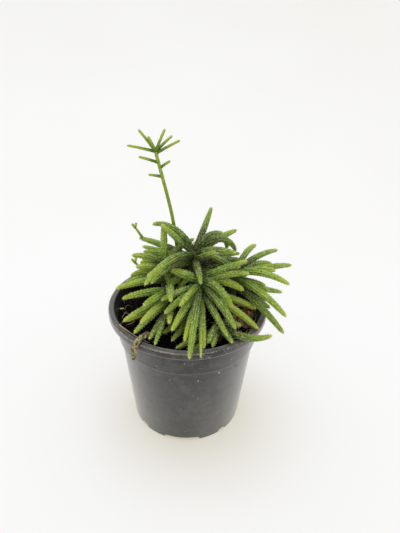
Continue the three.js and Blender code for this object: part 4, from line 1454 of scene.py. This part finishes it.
straw_line = smooth_points([on_heading(*end) for end in STRAW_ENDS], fibre_tube.stations)
straw = [fibre_skin(straw_line, STRAW_RADIUS)]
for out, heading in THIN_STRAWS:
    x, y, _ = on_heading(out, heading, 0)
    walk = fibre_walk(x, y, random.uniform(*THIN_STRAW_LENGTH), THIN_STRAW_BOW)
    straw.append(fibre_skin(walk, THIN_STRAW_RADIUS))
straw_material = fibre_material("straw", *STRAW_COLOURS)
tubes_piece("straw_fibres", fibre_tube.mesh, straw, straw_material, [])

# %% [markdown]
# ## Crumbs and specks on the pot
# Potting left crumbs of soil on the lip, clumps of grit and a few white perlite grains on the wall, and
# fine pale specks all round. Specks could be painted by a noise, and the finest are. These ones stand out
# from the wall, so they are the same small balls as the lumps of soil, flattened on to the pot.

# %% Ways to place a crumb, in mm
# The outside of the pot, as heights and the radii at them.
OUTER_HEIGHTS = (
    0, SHOULDER_HEIGHT - 1, SHOULDER_HEIGHT + 1,
    lip_foot - 0.1, lip_foot + 1, POT_HEIGHT - LIP_ROUND, POT_HEIGHT,
)
OUTER_RADII = (
    FOOT_RADIUS, BODY_TOP_RADIUS, BAND_FOOT_RADIUS,
    BAND_TOP_RADIUS, LIP_RADIUS, LIP_RADIUS, LIP_RADIUS - LIP_ROUND,
)
CRUMB_WIDTH = (0.5, 1.0)
CRUMB_FLATNESS = 0.3
CRUMB_STAND = 0.05
LIP_TOP = (LIP_RADIUS - 2.6, LIP_RADIUS - 1.0)


def wall_radius(z):
    """The outside radius of the pot at a height."""
    return float(np.interp(z, OUTER_HEIGHTS, OUTER_RADII))


def crumb_on_wall(heading, z, size):
    """A flat crumb that is stuck to the outside of the pot."""
    place = on_heading(wall_radius(z) + CRUMB_STAND * size, heading, z)
    sizes = size, size * random.uniform(*CRUMB_WIDTH), CRUMB_FLATNESS * size
    return aimed(on_heading(1, heading, 0), sizes, place)


def crumb_on_lip(heading, size):
    """A crumb that lies on top of the lip."""
    place = on_heading(random.uniform(*LIP_TOP), heading, POT_HEIGHT + CRUMB_FLATNESS * size)
    return placed(random_turn(), (size, size * 0.8, size * 0.5), place)


def near(middle, spread):
    """A random value near a middle one."""
    return middle + random.normal() * spread


print("outside radius in mm at the shoulder:", round(wall_radius(SHOULDER_HEIGHT), 1))

# %% Where the crumbs are
# A cluster is its middle heading, its spread in degrees and its number of crumbs. A spot is its heading and
# height. A white speck is its heading, height and size. Sizes are in mm, from the smallest to the largest.
LIP_CLUSTERS = ((327, 7, 42), (322, 12, 20), (225, 9, 16), (211, 4, 12), (281, 6, 14))
LIP_CRUMB_SIZES = (0.2, 0.6)
GRIT_CLUSTERS = ((281.5, 3.5, 46), (297, 2, 14))
GRIT_BAND = (85, 91.5)
GRIT_SIZES = (0.14, 0.42)
GRIT_SPOTS = ((247.8, 72.8), (239, 65.5), (256, 62.5), (268, 80), (305, 76), (279.5, 44.8), (232, 55.8))
SPOT_SIZES = (0.35, 0.50)
CLUMP_SPOTS = ((246, 73), (280, 76), (314, 65), (311, 67), (270.5, 8.5))
CLUMP_CRUMBS = 7
CLUMP_SPREAD = (1.3, 1.2)
CLUMP_DARK_SIZES, CLUMP_PALE_SIZES = (0.2, 0.5), (0.1, 0.25)
WHITE_SPECKS = (
    (296.2, 66.2, 0.75), (278.8, 62.5, 0.60), (246.5, 74.2, 0.50), (281.2, 87.5, 0.50), (278, 90.5, 0.5),
)
WALL_SPECKS = 120
WALL_SPECK_BAND = (4, 91)
WALL_SPECK_SIZES = (0.10, 0.22)
LIP_GRAINS = (211, 2.5, 8)
LIP_GRAIN_SIZES = (0.3, 0.55)
CRUMB_COLOURS = (0.04, 0.026, 0.014, 1), (0.32, 0.22, 0.12, 1)
GRIT_COLOURS = (0.26, 0.25, 0.21, 1), (0.66, 0.64, 0.57, 1)

dark, pale = [], []
for heading, spread, count in LIP_CLUSTERS:
    dark += [crumb_on_lip(near(heading, spread), random.uniform(*LIP_CRUMB_SIZES)) for _ in range(count)]
for heading, spread, count in GRIT_CLUSTERS:
    for _ in range(count):
        spot = near(heading, spread), random.uniform(*GRIT_BAND)
        pale.append(crumb_on_wall(*spot, random.uniform(*GRIT_SIZES)))
pale += [crumb_on_wall(*spot, random.uniform(*SPOT_SIZES)) for spot in GRIT_SPOTS]
for heading, z in CLUMP_SPOTS:
    for _ in range(CLUMP_CRUMBS):
        spot = near(heading, CLUMP_SPREAD[0]), near(z, CLUMP_SPREAD[1])
        dark.append(crumb_on_wall(*spot, random.uniform(*CLUMP_DARK_SIZES)))
        pale.append(crumb_on_wall(near(spot[0], 1), near(spot[1], 1), random.uniform(*CLUMP_PALE_SIZES)))
white = [crumb_on_wall(*speck) for speck in WHITE_SPECKS]
for _ in range(WALL_SPECKS):
    spot = random.uniform(0, 360), random.uniform(*WALL_SPECK_BAND)
    pale.append(crumb_on_wall(*spot, random.uniform(*WALL_SPECK_SIZES)))
heading, spread, count = LIP_GRAINS
pale += [crumb_on_lip(near(heading, spread), random.uniform(*LIP_GRAIN_SIZES)) for _ in range(count)]
scatter("white_specks", rough_ball, white, perlite_material)
scatter("lip_crumbs", ball, dark, crumb_material("crumbs", *CRUMB_COLOURS, 300.0, 0.4))
scatter("wall_specks", ball, pale, crumb_material("grit", *GRIT_COLOURS, 400.0, 0.4))

# %% [markdown]
# ## A scrap of green
# A chip of a stem lies on the soil at the left. It is so small that a flattened ball with a dry green
# mottle will do.

# %% A scrap of green on the soil
SCRAP_SPOT = (46.3, 176)
SCRAP_SIZE = (1.7, 0.8, 0.5)
SCRAP_TURN = 10
SCRAP_LIFT = 0.9
SCRAP_COLOURS = (0.30, 0.36, 0.10, 1), (0.55, 0.60, 0.30, 1)
x, y, _ = on_heading(*SCRAP_SPOT, 0)
turn = np.array(Matrix.Rotation(math.radians(SCRAP_TURN), 3, "Z"))
scrap = placed(turn, SCRAP_SIZE, (x, y, soil_height(x, y) + SCRAP_LIFT))
scrap_material = mottled_material("green_scrap", *SCRAP_COLOURS, (500.0, 1600.0), 0.7, (1500.0, 0.4, 0.0003))
scatter("green_scrap", rough_ball, [scrap], scrap_material)
